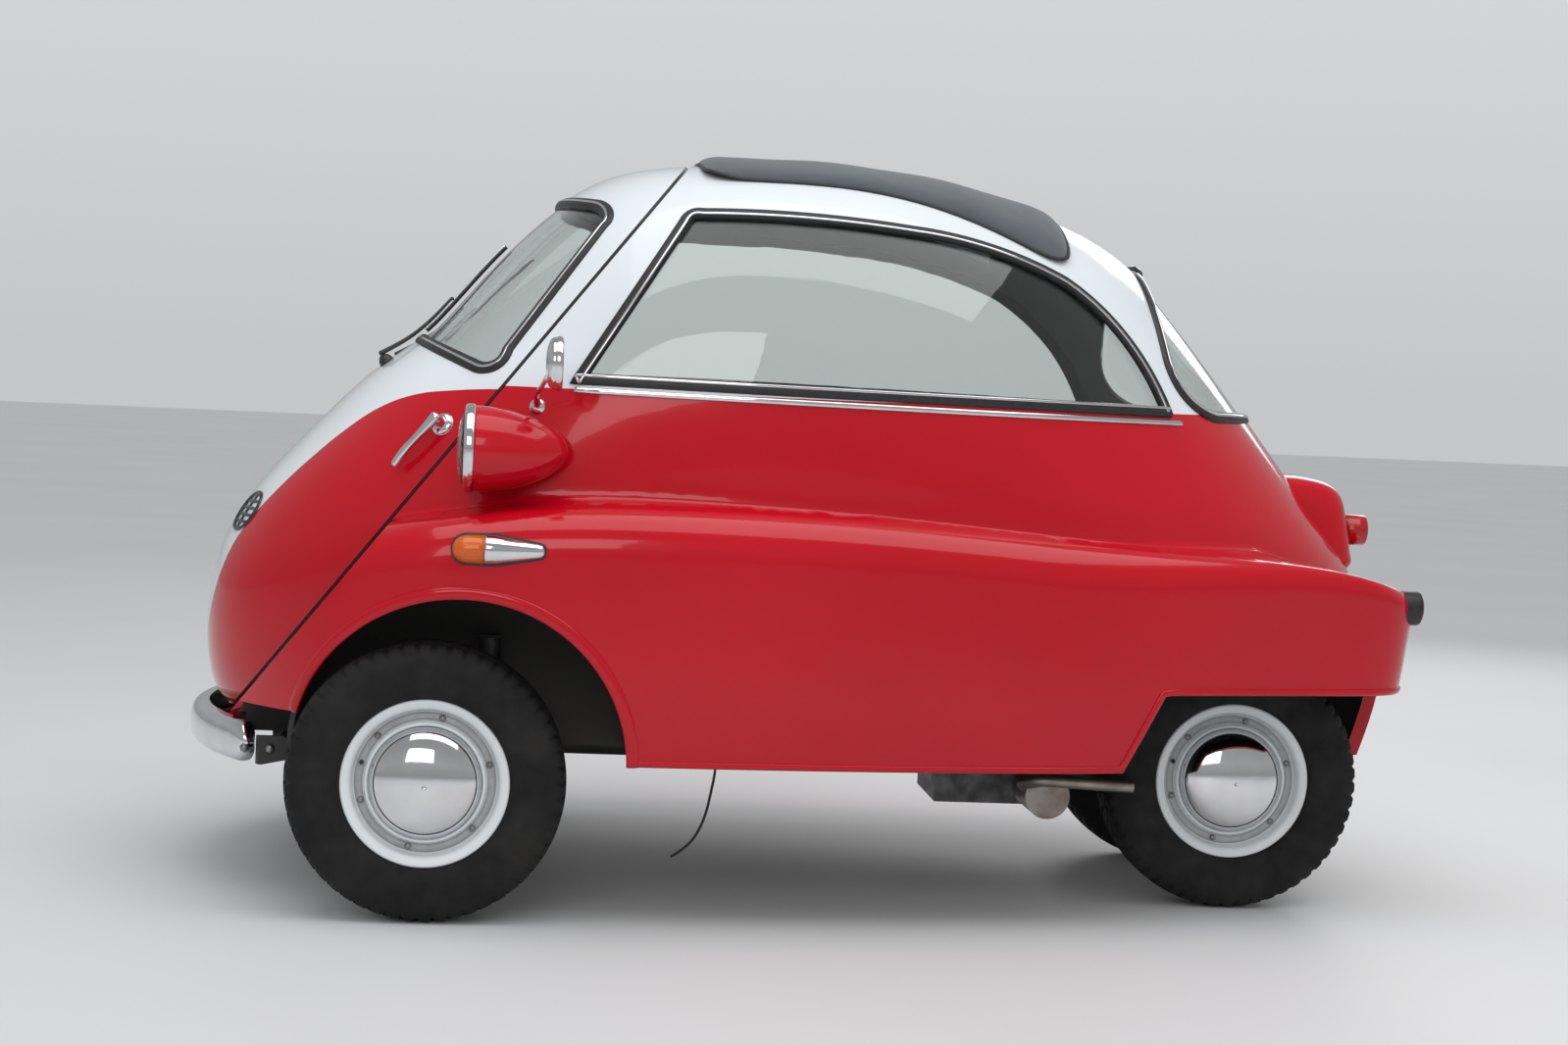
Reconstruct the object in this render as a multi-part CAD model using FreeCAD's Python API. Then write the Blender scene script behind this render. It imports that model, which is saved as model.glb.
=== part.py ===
import FreeCAD, Part
import math
import os

from FreeCAD import Vector

# A four-wheeled bubble car with one front door. Millimetres and degrees.
# While the car is built, x = 0 is the front axle and x grows towards the tail, the left side is
# -y, and z = 0 is the ground. On saving, every piece moves so that x = 0 is the middle of the car.

# Wheels and axles
WHEELBASE = 1500.0
FRONT_TRACK = 1200.0
REAR_TRACK = 520.0
TYRE_RADIUS = 243.0
TYRE_WIDTH = 135.0
RIM_RADIUS = 145.0
BEAD_RADIUS = 126.0
RIM_WIDTH = 104.0
HUBCAP_RADIUS = 97.0
HUBCAP_DEPTH = 44.0
STUB_RADIUS = 14.0
KINGPIN_RADIUS = 9.0
KINGPIN_INSET = 10.0
RUNNING_GAP = 0.05

# Body
WALL = 25.0
DOOR_GAP = 6.0
SEAM_TOP_X = 440.0
SEAM_TOP_Z = 1360.0
SEAM_SLOPE = 52.2
AXIS_X = 600.0
ROOF_Z = 1368.0
SKIRT_Z = 240.0
SILL_Z = 285.0
BELT_Z = 930.0
FRONT_EDGE_Z = 350.0
REAR_EDGE_Z = 427.0
REAR_STEP_X = 1236.0
REAR_STEP_RUN = 72.0
ARCH_X = 55.0
ARCH_Z = 277.0
ARCH_RADIUS = 292.0
WHEELHOUSE_Y = 400.0
WHEELHOUSE_WALL = 10.0
INNER_WING_Y = 330.0
FLOOR_THICK = 12.0
JACK_PAD = (620.0, 480.0)
JACK_PAD_SIZE = 60.0
JACK_PAD_DROP = 8.0
POST_TOP_Z = 690.0
POST_INSET = 8.0
BULKHEAD_X = 990.0
SHELF_Z = 780.0
PANEL_THICK = 12.0
FRONT_FULLNESS = 2.55
REAR_FULLNESS = 2.15

# Windows
SEAL_PROUD = 2.5
SEAL_WIDTH = 17.0
SEAL_DEPTH = 18.0
GLASS_INSET = 6.0
GLASS_THICK = 5.0

# Lamps, bumper and plate
HEADLAMP = (60.0, 590.0, 820.0)
HEADLAMP_RADIUS = 75.0
HEADLAMP_LENGTH = 163.0
INDICATOR = (32.0, 655.0, 652.0)
INDICATOR_LENGTH = 158.0
BUMPER_FRONT_X = -468.0
BUMPER_Z = 271.0
BUMPER_HEIGHT = 78.0
BUMPER_HALF = 420.0
BUMPER_SWEEP = 132.0
STOP_LAMP_X = 1828.0
PLATE_SCREWS = 170.0
STOP_LAMP_Z = 711.0

# Door hinges: the pin's line through two points in the plane of the seam
HINGE_LOW = (503.0, 700.0)
HINGE_HIGH = (520.0, 940.0)
HINGE_RADIUS = 11.0
HINGE_PIN = 5.0
HINGE_STATIONS = (0.15, 0.85)
HINGE_LENGTH = 26.0

# Steering: the lock each way is 25 degrees at the front wheels
WHEEL_CENTRE = (300.0, 270.0, 830.0)
WHEEL_RADIUS = 190.0
WHEEL_RIM = 11.0
COLUMN_FOOT = (-175.0, 270.0, 395.0)
COLUMN_RADIUS = 19.0
YOKE_HALF = 57.0
YOKE_ARM = 22.0
YOKE_WIDTH = 20.0
STEERING_ARM = 60.0
STEERING_ARM_Z = 200.0
STEERING_ARM_RADIUS = 9.0
TIE_ROD_Z = 221.0
TIE_ROD_RADIUS = 7.0
TIE_PIN_RADIUS = 5.0

# Chassis
RAIL_Y = 155.0
RAIL_RADIUS = 25.0
RAIL_KICK = 95.0
AXLE_BEAM_Z = 200.0
AXLE_BEAM_RADIUS = 24.0
SHAFT_RADIUS = 15.0
CASING_RADIUS = 30.0
CASING_HALF = 175.0

# Cabin fittings
SEAT_X = (470.0, 940.0)
SEAT_HALF = 485.0
SEAT_Z = (430.0, 550.0)
BACKREST_TOP = 900.0

# Loose cable under the floor
CABLE_RADIUS = 2.5

# Engine lid
LID_X = (1010.0, 1400.0)
LID_Z = (462.0, 632.0)
LID_GAP = 7.0

TAIL_END_X = 1836.0
MIDDLE_X = (BUMPER_FRONT_X + TAIL_END_X) / 2

# Body outlines: (x, z) down the middle of the nose and of the tail, (y, z) across the cabin
NOSE = [(-300, 240), (-382, 291), (-423, 341), (-441, 460), (-421, 598), (-361, 710), (-257, 831),
        (-163, 927), (-105, 975), (-45, 1020), (70, 1152), (206, 1283), (289, 1330), (355, 1346),
        (440, 1358), (AXIS_X, ROOF_Z)]
TAIL = [(1730, 240), (1760, 320), (1788, 400), (1802, 470), (1802, 540), (1782, 622), (1732, 700),
        (1668, 781), (1601, 866), (1555, 924), (1496, 998), (1411, 1100), (1340, 1178),
        (1288, 1222), (1206, 1268), (1085, 1309), (940, 1341), (780, 1361), (AXIS_X, ROOF_Z)]
CABIN = [(500, 240), (530, 340), (560, 480), (580, 640), (588, 780), (586, 900), (572, 1010),
         (545, 1110), (500, 1205), (430, 1285), (330, 1332), (180, 1360), (0, ROOF_Z)]
# Wing outline seen from above, and the height of its shoulder along the car
WING = [(-470, 0), (-455, 180), (-420, 330), (-340, 455), (-250, 560), (-150, 635), (0, 682),
        (150, 692), (450, 686), (800, 656), (1150, 598), (1450, 528), (1650, 478), (1745, 447),
        (1797, 400), (1817, 320), (1826, 180), (1828, 0)]
SHOULDER = [(-400, 660), (-100, 695), (127, 726), (431, 738), (774, 730), (1122, 705),
            (1476, 677), (1664, 660), (1740, 645), (1830, 616)]
WING_FRONT = 60.0
WING_BLEND = 30.0
SHOULDER_FRONT = (95.0, 112.0)
SHOULDER_REAR = (50.0, 80.0)
TAIL_RAKE = 0.13

os.makedirs("parts", exist_ok=True)


# Smooth curves through a few points

def spline(stations, values):
    """Natural cubic spline through the values at the stations, as a function."""
    n = len(stations)
    gap = [stations[i + 1] - stations[i] for i in range(n - 1)]
    upper = [0.0] * n
    right = [0.0] * n
    for i in range(1, n - 1):
        slope = (values[i + 1] - values[i]) / gap[i] - (values[i] - values[i - 1]) / gap[i - 1]
        pivot = 2 * (gap[i - 1] + gap[i]) - gap[i - 1] * upper[i - 1]
        upper[i] = gap[i] / pivot
        right[i] = (6 * slope - gap[i - 1] * right[i - 1]) / pivot
    bend = [0.0] * n
    for i in range(n - 2, 0, -1):
        bend[i] = right[i] - upper[i] * bend[i + 1]

    def value(t):
        k = 0
        while k < n - 2 and t > stations[k + 1]:
            k += 1
        a = stations[k + 1] - t
        b = t - stations[k]
        cubic = (bend[k] * a ** 3 + bend[k + 1] * b ** 3) / (6 * gap[k])
        left = (values[k] / gap[k] - bend[k] * gap[k] / 6) * a
        return cubic + left + (values[k + 1] / gap[k] - bend[k + 1] * gap[k] / 6) * b
    return value


def fine_line(points, steps=24):
    """Many points along a smooth curve through the given ones."""
    along = [0.0]
    for (x0, y0), (x1, y1) in zip(points, points[1:]):
        along.append(along[-1] + math.sqrt(math.hypot(x1 - x0, y1 - y0)))
    fx = spline(along, [p[0] for p in points])
    fy = spline(along, [p[1] for p in points])
    line = []
    for start, end in zip(along, along[1:]):
        for i in range(steps):
            t = start + (end - start) * i / steps
            line.append((fx(t), fy(t)))
    line.append(points[-1])
    return line


def reach(line, height, tilt):
    """Distance out from the axis at which a ray from the given height meets the outline."""
    c = math.cos(tilt)
    s = math.sin(tilt)
    before = None
    for out, z in line:
        side = (z - height) * c - out * s
        if before is None and side >= 0:
            return out
        if before and before[0] < 0 <= side:
            return before[1] + (out - before[1]) * before[0] / (before[0] - side)
        before = (side, out)
    return 0.0


def clamp(value, low, high):
    return max(low, min(high, value))


# The skin of the car, as distances out from an upright axis under the roof

NOSE_LINE = fine_line([(AXIS_X - x, z) for x, z in NOSE])
TAIL_LINE = fine_line([(x - AXIS_X, z) for x, z in TAIL])
CABIN_LINE = fine_line(CABIN)
WING_LINE = [(math.atan2(y, AXIS_X - x), math.hypot(AXIS_X - x, y)) for x, y in fine_line(WING)]
SHOULDER_HEIGHT = spline([p[0] for p in SHOULDER], [p[1] for p in SHOULDER])
SECTIONS = {}


def section(height, tilt):
    """Reach of the cone of rays at the nose, the side and the tail."""
    key = (round(height, 3), round(tilt, 5))
    if key not in SECTIONS:
        SECTIONS[key] = [reach(line, height, tilt) for line in (NOSE_LINE, CABIN_LINE, TAIL_LINE)]
    return SECTIONS[key]


def cabin_radius(azimuth, height, tilt=0.0):
    """Egg-shaped cabin: a superellipse between the nose, side and tail outlines."""
    nose, side, tail = section(height, tilt)
    c = math.cos(azimuth)
    s = math.sin(azimuth)
    end, full = (nose, FRONT_FULLNESS) if c > 0 else (tail, REAR_FULLNESS)
    power = 2 + (full - 2) * math.cos(tilt) ** 3
    return (abs(c / end) ** power + abs(s / side) ** power) ** (-1 / power)


def wing_plan(azimuth):
    for (a0, r0), (a1, r1) in zip(WING_LINE, WING_LINE[1:]):
        if a0 <= azimuth <= a1:
            return r0 + (r1 - r0) * (azimuth - a0) / (a1 - a0)
    return WING_LINE[-1][1]


def shoulder(azimuth):
    """Height of the wing's shoulder in a direction, and how far along the tail that is."""
    x = clamp(AXIS_X - wing_plan(azimuth) * math.cos(azimuth), SHOULDER[0][0], SHOULDER[-1][0])
    along = clamp((x - 1100) / 600, 0, 1)
    return SHOULDER_HEIGHT(x), along * along * (3 - 2 * along)


def seam_x(z):
    return SEAM_TOP_X + (z - SEAM_TOP_Z) / math.tan(math.radians(SEAM_SLOPE))


def body_radius(azimuth, z):
    """Cabin and wing together, the wing swelling out behind the door's seam."""
    cabin = cabin_radius(azimuth, z)
    crest, tail = shoulder(azimuth)
    high = SHOULDER_FRONT[0] + (SHOULDER_REAR[0] - SHOULDER_FRONT[0]) * tail
    deep = SHOULDER_FRONT[1] + (SHOULDER_REAR[1] - SHOULDER_FRONT[1]) * tail
    below = crest - z
    if below >= high:
        inset = 0.0
    elif below > 0:
        inset = deep * (1 - (1 - (1 - below / high) ** 2.3) ** (1 / 2.3))
    else:
        inset = deep - 6 * below
    tuck = 22 * (max(0.0, 470 - z) / 190) ** 2
    rake = (TAIL_RAKE * (600 - z) - 6) * tail
    wing = wing_plan(azimuth) - inset - tuck - rake
    both = 0.5 * (cabin + wing + math.hypot(cabin - wing, WING_BLEND))
    x = AXIS_X - cabin * math.cos(azimuth)
    return cabin + math.tanh((x - seam_x(z)) / WING_FRONT) * (both - cabin)


def skin_point(azimuth, out, z):
    return Vector(AXIS_X - out * math.cos(azimuth), -out * math.sin(azimuth), z)


def cabin_grid():
    """Rows of points from the skirt to the roof's middle, nose to tail down the left side."""
    azimuths = [math.radians(a) for a in
                (0, 6, 12, 18, 24, 30, 36, 43, 51, 60, 70, 80, 90, 101, 112, 122, 131, 139, 146,
                 153, 160, 167, 173.5, 180)]
    rows = []
    for z in (SKIRT_Z, 280, 325, 380, 450, 530, 620, 710, 790):
        rows.append([skin_point(a, cabin_radius(a, z), z) for a in azimuths])
    for degrees in (6, 12, 18, 24, 30, 36, 42, 48, 54, 60, 67, 74, 82):
        tilt = math.radians(degrees)
        row = []
        for a in azimuths:
            out = cabin_radius(a, 790, tilt)
            row.append(skin_point(a, out, 790 + out * math.tan(tilt)))
        rows.append(row)
    rows.append([Vector(AXIS_X, 0, ROOF_Z)] * len(azimuths))
    return rows


def body_grid():
    azimuths = [math.radians(a) for a in
                (0, 6, 11, 15, 18, 21, 24, 27, 30, 33, 36.5, 40, 45, 51, 58, 66, 75, 84, 94, 104,
                 113, 121, 128, 134, 139.5, 144.5, 149, 153, 156.5, 159.5, 162.5, 166, 170, 175, 180)]
    rows = []
    for share in (0, 0.25, 0.5, 0.75):
        row = []
        for a in azimuths:
            z = SKIRT_Z + (shoulder(a)[0] - 235 - SKIRT_Z) * share
            row.append(skin_point(a, body_radius(a, z), z))
        rows.append(row)
    for below in (235, 175, 130, 98, 72, 52, 35, 20, 8, -4, -18, -36, -60):
        row = []
        for a in azimuths:
            z = shoulder(a)[0] - below
            row.append(skin_point(a, body_radius(a, z), z))
        rows.append(row)
    for degrees in (6, 12, 18, 24, 30, 36, 42, 48, 54, 60, 67, 74, 82):
        tilt = math.radians(degrees)
        row = []
        for a in azimuths:
            z = shoulder(a)[0] + 60
            out = cabin_radius(a, z, tilt)
            row.append(skin_point(a, out, z + out * math.tan(tilt)))
        rows.append(row)
    rows.append([Vector(AXIS_X, 0, ROOF_Z)] * len(azimuths))
    return rows


def offset_grid(rows, distance):
    """The grid moved out along its own normals, the middle line kept in the middle plane."""
    moved = []
    last = len(rows[0]) - 1
    for j, row in enumerate(rows[:-1]):
        above = rows[j + 1]
        under = rows[max(j - 1, 0)]
        line = []
        for i, point in enumerate(row):
            along = row[min(i + 1, last)] - row[max(i - 1, 0)]
            normal = (above[i] - under[i]).cross(along)
            if i in (0, last):
                normal = (above[i] - under[i]).cross(Vector(0, -1, 0))
                normal.y = 0
                if i == last:
                    normal = normal * -1
            normal.normalize()
            if normal.dot(point - Vector(AXIS_X, 0, 600)) < 0:
                normal = normal * -1
            line.append(point + normal * distance)
        moved.append(line)
    for point in moved[0]:
        point.z = SKIRT_Z - 30
    top = rows[-1][0] + Vector(0, 0, distance)
    moved.append([top] * (last + 1))
    return moved


def control_line(points, mirrored):
    """Control points of the uniform cubic through the points, ends clamped."""
    n = len(points)
    knots = list(points)
    for sweep in range(30):
        for i in range(n):
            if mirrored and i in (0, n - 1):
                inner = knots[1] if i == 0 else knots[n - 2]
                other = Vector(inner.x, -inner.y, inner.z)
                knots[i] = (points[i] * 6 - inner - other) * 0.25
            elif 0 < i < n - 1:
                knots[i] = (points[i] * 6 - knots[i - 1] - knots[i + 1]) * 0.25
    first = (knots[0] * 2 + knots[1]) * (1 / 3)
    last = (knots[-1] * 2 + knots[-2]) * (1 / 3)
    return [points[0], first] + knots[1:-1] + [last, points[-1]]


def half_solid(rows):
    """Closed left half: the skin through the grid, the middle plane and a flat bottom."""
    lines = [control_line(row, True) for row in rows]
    columns = [control_line([line[i] for line in lines], False) for i in range(len(lines[0]))]
    nu = len(rows[0])
    nv = len(rows)
    surface = Part.BSplineSurface()
    surface.buildFromPolesMultsKnots(
        columns, [4] + [1] * (nu - 2) + [4], [4] + [1] * (nv - 2) + [4],
        list(range(nu)), list(range(nv)), False, False, 3, 3)
    skin = surface.toShape()
    nose = surface.uIso(0).toShape()
    tail = surface.uIso(nu - 1).toShape()
    hem = surface.vIso(0).toShape()
    base = Part.makeLine(columns[0][0], columns[-1][0])
    middle = Part.Face(Part.Wire(Part.__sortEdges__([nose, tail, base])))
    bottom = Part.Face(Part.Wire(Part.__sortEdges__([hem, base])))
    shell = Part.makeShell([skin, middle, bottom])
    shell.sewShape()
    solid = Part.makeSolid(shell)
    if solid.Volume < 0:
        solid.reverse()
    return solid


# Small helpers for solids

def box(x, y, z):
    """Box between pairs of limits."""
    corner = Vector(min(x), min(y), min(z))
    return Part.makeBox(abs(x[1] - x[0]), abs(y[1] - y[0]), abs(z[1] - z[0]), corner)


def mirrored(shape):
    return shape.mirror(Vector(0, 0, 0), Vector(0, 1, 0))


def pair(shape):
    """The left piece and its mirror image, as solids that don't touch."""
    return Part.makeCompound([shape, mirrored(shape)])


def whole(half):
    """Both halves joined across the middle plane."""
    return half.fuse(mirrored(half))


def join(shapes):
    return shapes[0].fuse(shapes[1:]) if len(shapes) > 1 else shapes[0]


def rod(start, end, radius):
    start = Vector(*start)
    end = Vector(*end)
    return Part.makeCylinder(radius, (end - start).Length, start, end - start)


def tube(start, end, outer, inner):
    return rod(start, end, outer).cut(rod(start, end, inner))


def side_prism(edges, y0, y1):
    """Profile edges in the xz plane pushed through from y0 to y1."""
    face = Part.Face(Part.Wire(edges))
    face.translate(Vector(0, y0, 0))
    return face.extrude(Vector(0, y1 - y0, 0))


def outline(points):
    """Closed straight outline in the xz plane."""
    corners = [Vector(x, 0, z) for x, z in points]
    return [Part.makeLine(a, b) for a, b in zip(corners, corners[1:] + corners[:1])]


def turned(profile, centre, axis_y=True):
    """Ring turned from an (r, y) profile about a line along y through the centre."""
    corners = [Vector(r, y, 0) for r, y in profile]
    face = Part.Face(Part.makePolygon(corners + corners[:1]))
    solid = face.revolve(Vector(0, 0, 0), Vector(0, 1, 0), 360)
    solid.translate(Vector(*centre))
    return solid


def seam_side(front, gap):
    """Half space in front of or behind the door's seam, with half the gap left free."""
    block = Part.makeBox(4000, 3000, 2000, Vector(-2000, -1500, gap / 2))
    if not front:
        block = Part.makeBox(4000, 3000, 2000, Vector(-2000, -1500, -2000 - gap / 2))
    block.rotate(Vector(0, 0, 0), Vector(0, 1, 0), -SEAM_SLOPE)
    block.translate(Vector(SEAM_TOP_X, 0, SEAM_TOP_Z))
    return block


SAVED = {}


def save(name, shape):
    shape = shape.copy()
    shape.translate(Vector(-MIDDLE_X, 0, 0))
    solids = shape.Solids
    if len(solids) == 1:
        shape = solids[0]
    else:
        shape = Part.makeCompound(solids)
    SAVED[name] = shape
    shape.exportStep("parts/" + name + ".step")
    print(name, "solids", len(solids), "valid", shape.isValid(), "litres", round(shape.Volume / 1e6, 3))


# Door, body shell and windows

def line_edge(a, b):
    return Part.makeLine(Vector(a[0], 0, a[1]), Vector(b[0], 0, b[1]))


def arc_edge(a, b, c):
    return Part.Arc(Vector(a[0], 0, a[1]), Vector(b[0], 0, b[1]), Vector(c[0], 0, c[1])).toShape()


def side_window_edges():
    foot, heel = (224, 940), (1333, 926)
    crown = [(450, 1259), (640, 1259), (830, 1246), (985, 1220), (1124, 1170), (1248, 1068), heel]
    return [line_edge(foot, (408, 1236)), arc_edge((408, 1236), (422, 1253), crown[0]),
            arc_edge(*crown[0:3]), arc_edge(*crown[2:5]), arc_edge(*crown[4:7]), line_edge(heel, foot)]


def windscreen_edges():
    low = (-140, 1038)
    high = (90, 1305)
    return [line_edge(low, (56, 954)), arc_edge((56, 954), (95, 961), (118, 993)),
            line_edge((118, 993), (278, 1222)), arc_edge((278, 1222), (288, 1250), (268, 1271)),
            line_edge((268, 1271), high), line_edge(high, low)]


def rear_window_edges():
    low = (1720, 916)
    high = (1720, 1209)
    return [line_edge(high, (1334, 1209)), arc_edge((1334, 1209), (1313, 1200), (1309, 1178)),
            line_edge((1309, 1178), (1326, 1045)), arc_edge((1326, 1045), (1362, 963), (1440, 921)),
            line_edge((1440, 921), low), line_edge(low, high)]


def inset_edges(edges, distance):
    wire = Part.Wire(edges)
    face = Part.Face(wire)
    smaller = wire.makeOffset2D(-distance)
    if Part.Face(smaller).Area > face.Area:
        smaller = wire.makeOffset2D(distance)
    return smaller.Edges


HALVES = {}


def cabin_half(distance=0.0):
    key = ("cabin", distance)
    if key not in HALVES:
        grid = cabin_grid()
        HALVES[key] = half_solid(offset_grid(grid, distance) if distance else grid)
    return HALVES[key]


def body_half(distance=0.0):
    key = ("body", distance)
    if key not in HALVES:
        grid = body_grid()
        HALVES[key] = half_solid(offset_grid(grid, distance) if distance else grid)
    return HALVES[key]


def glazing(half, edges, y0, y1):
    """Glass and its rubber seal in a window cut through from y0 to y1, on the left half."""
    opening = side_prism(inset_edges(edges, SEAL_WIDTH * 0.5), y0, y1)
    glass = half(-GLASS_INSET).common(opening).cut(half(-GLASS_INSET - GLASS_THICK))
    ring = side_prism(edges, y0, y1).cut(side_prism(inset_edges(edges, SEAL_WIDTH), y0, y1))
    seal = half(SEAL_PROUD).common(ring).cut(half(-SEAL_DEPTH)).cut(glass)
    return glass, seal


def arch_cylinder(radius, y0, y1):
    return rod((ARCH_X, y0, ARCH_Z), (ARCH_X, y1, ARCH_Z), radius)


def bumper_recess():
    """Space kept free behind the bumper's end."""
    return box((-700, -335), (-900, -200), (0, BUMPER_Z + BUMPER_HEIGHT / 2 + 8))


def body_cavity():
    """Room inside the body's left half. A wall along the seam closes the front of the wing."""
    if "cavity" not in HALVES:
        post = seam_side(False, DOOR_GAP).cut(seam_side(False, DOOR_GAP + 2 * WALL))
        post = post.common(box((-700, 300), (-900, -100), (0, POST_TOP_Z)))
        post = post.cut(cabin_half(-WALL - POST_INSET))
        HALVES["cavity"] = body_half(-WALL).cut(post)
    return HALVES["cavity"]


def body_shell():
    """Left half of the welded shell behind the door's seam."""
    shell = body_half().cut(body_cavity()).common(seam_side(False, DOOR_GAP))
    doorway = cabin_half(-WALL - POST_INSET).common(box((-500, 100), (-900, 10), (200, POST_TOP_Z)))
    shell = shell.cut(doorway)
    step = outline([(REAR_STEP_X, 0), (REAR_STEP_X, SILL_Z),
                    (REAR_STEP_X + REAR_STEP_RUN, REAR_EDGE_Z), (2100, REAR_EDGE_Z), (2100, 0)])
    cuts = [box((-700, 2100), (-900, 10), (0, SILL_Z)),
            box((-700, -150), (-900, -INNER_WING_Y), (0, FRONT_EDGE_Z)),
            bumper_recess(),
            side_prism(step, -900, -200),
            arch_cylinder(ARCH_RADIUS, -900, -WHEELHOUSE_Y),
            side_prism(side_window_edges(), -900, -250),
            side_prism(rear_window_edges(), -900, 10),
            box((500, 1090), (-300, 10), (1200, 1500))]
    return shell.cut(cuts)


def make_body():
    shell = body_shell()
    lower = whole(shell.common(box((-900, 2200), (-900, 10), (0, BELT_Z))))
    upper = whole(shell.common(box((-900, 2200), (-900, 10), (BELT_Z, 1600))))
    lid_cut = lid_prism(0.0)
    lid = mirrored(body_half()).cut(mirrored(body_half(-WALL))).common(lid_prism(LID_GAP))
    save("lower_body", lower.cut(lid_cut))
    save("roof_shell", upper)
    butts = []
    flaps = []
    for share in (0.18, 0.82):
        butt, flap = lid_hinge(share)
        butts.append(butt)
        flaps.append(flap)
    save("lid_hinges", Part.makeCompound(butts))
    save("engine_lid", join([lid] + flaps))


def lid_prism(inset):
    return box((LID_X[0] + inset, LID_X[1] - inset), (300, 900), (LID_Z[0] + inset, LID_Z[1] - inset))


def side_y(x, z):
    """Half width of the body at a place along its side."""
    low, high = 0.0, math.pi
    for step in range(50):
        azimuth = (low + high) / 2
        if AXIS_X - body_radius(azimuth, z) * math.cos(azimuth) < x:
            low = azimuth
        else:
            high = azimuth
    return body_radius(azimuth, z) * math.sin(azimuth)


def lid_axis():
    """Two points on the lid's hinge line, just outside the skin over its top edge."""
    z = LID_Z[1]
    return (Vector(LID_X[0], side_y(LID_X[0], z) + 7, z), Vector(LID_X[1], side_y(LID_X[1], z) + 7, z))


def lid_hinge(share):
    start, end = lid_axis()
    along = (end - start)
    along.normalize()
    middle = start + (end - start) * share
    pin = Part.makeCylinder(2.0, 44, middle - along * 22, along)
    outer = Part.makeCylinder(5.0, 20, middle - along * 21, along).cut(
        Part.makeCylinder(2.05, 20, middle - along * 21, along))
    inner = Part.makeCylinder(5.0, 20, middle + along * 1, along).fuse(pin)
    skin = mirrored(body_half())
    leaf = box((-21, -1), (-30, 3), (3, 22))
    flap = box((1, 21), (-30, 3), (-24, -3))
    turn = math.degrees(math.atan2(along.y, along.x))
    shapes = []
    for plate in (leaf, flap):
        plate.rotate(Vector(0, 0, 0), Vector(0, 0, 1), turn)
        plate.translate(middle)
        shapes.append(plate.cut(skin))
    return shapes[0].fuse(outer).removeSplitter(), shapes[1].fuse(inner).removeSplitter()


def make_windows():
    glass, seal = glazing(body_half, side_window_edges(), -900, -250)
    save("side_windows", pair(glass))
    save("side_window_seals", pair(seal))
    glass, seal = glazing(body_half, rear_window_edges(), -900, 10)
    save("rear_window", whole(glass))
    save("rear_window_seal", whole(seal))
    glass, seal = glazing(cabin_half, windscreen_edges(), -900, 10)
    save("windscreen", whole(glass))
    save("windscreen_seal", whole(seal))


def make_folding_roof():
    cover = body_half(16.0).cut(body_half())
    flat = box((455, 1140), (-372, 372), (1200, 1500))
    edges = [edge for edge in flat.Edges if abs(edge.tangentAt(edge.FirstParameter).z) > 0.9]
    save("folding_roof", whole(cover.common(flat.makeFillet(60, edges))))


def make_floor():
    inside = body_cavity()
    rear = BULKHEAD_X + PANEL_THICK
    floor = box((-450, rear), (-900, 0), (SILL_Z, SILL_Z + FLOOR_THICK))
    house = ARCH_RADIUS + 2 + WHEELHOUSE_WALL
    floor = floor.common(inside).common(seam_side(False, DOOR_GAP))
    floor = floor.cut(arch_cylinder(house, -900, -WHEELHOUSE_Y + WHEELHOUSE_WALL))
    front = ARCH_X - ARCH_RADIUS
    floor = floor.cut(box((-700, front), (-900, -INNER_WING_Y), (0, 400)))
    x, y = JACK_PAD
    half = JACK_PAD_SIZE / 2
    pad = box((x - half, x + half), (-y - half, -y + half), (SILL_Z - JACK_PAD_DROP, SILL_Z))
    save("floor_pan", whole(floor.fuse(pad)))
    liner = arch_cylinder(house, -900, -WHEELHOUSE_Y + WHEELHOUSE_WALL)
    liner = liner.cut(arch_cylinder(ARCH_RADIUS + 2, -900, -WHEELHOUSE_Y))
    wall = box((-450, front), (-INNER_WING_Y - WHEELHOUSE_WALL, -INNER_WING_Y), (SILL_Z, 800))
    wall = wall.fuse(box((front - WHEELHOUSE_WALL, front), (-WHEELHOUSE_Y, -INNER_WING_Y), (SILL_Z, 800)))
    wall = wall.common(seam_side(False, DOOR_GAP))
    liner = liner.fuse(wall).common(inside).cut(box((-700, 700), (-900, 0), (-100, SILL_Z)))
    liner = liner.cut(arch_cylinder(ARCH_RADIUS + 2, -900, -WHEELHOUSE_Y)).cut(floor).cut(bumper_recess())
    save("wheelhouses", pair(liner))
    top = SHELF_Z + PANEL_THICK
    wall = box((BULKHEAD_X, rear), (-900, 0), (SILL_Z + FLOOR_THICK, top))
    shelf = box((rear, 2000), (-900, 0), (SHELF_Z, top))
    save("rear_bulkhead", whole(wall.fuse(shelf).common(inside)))


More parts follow.
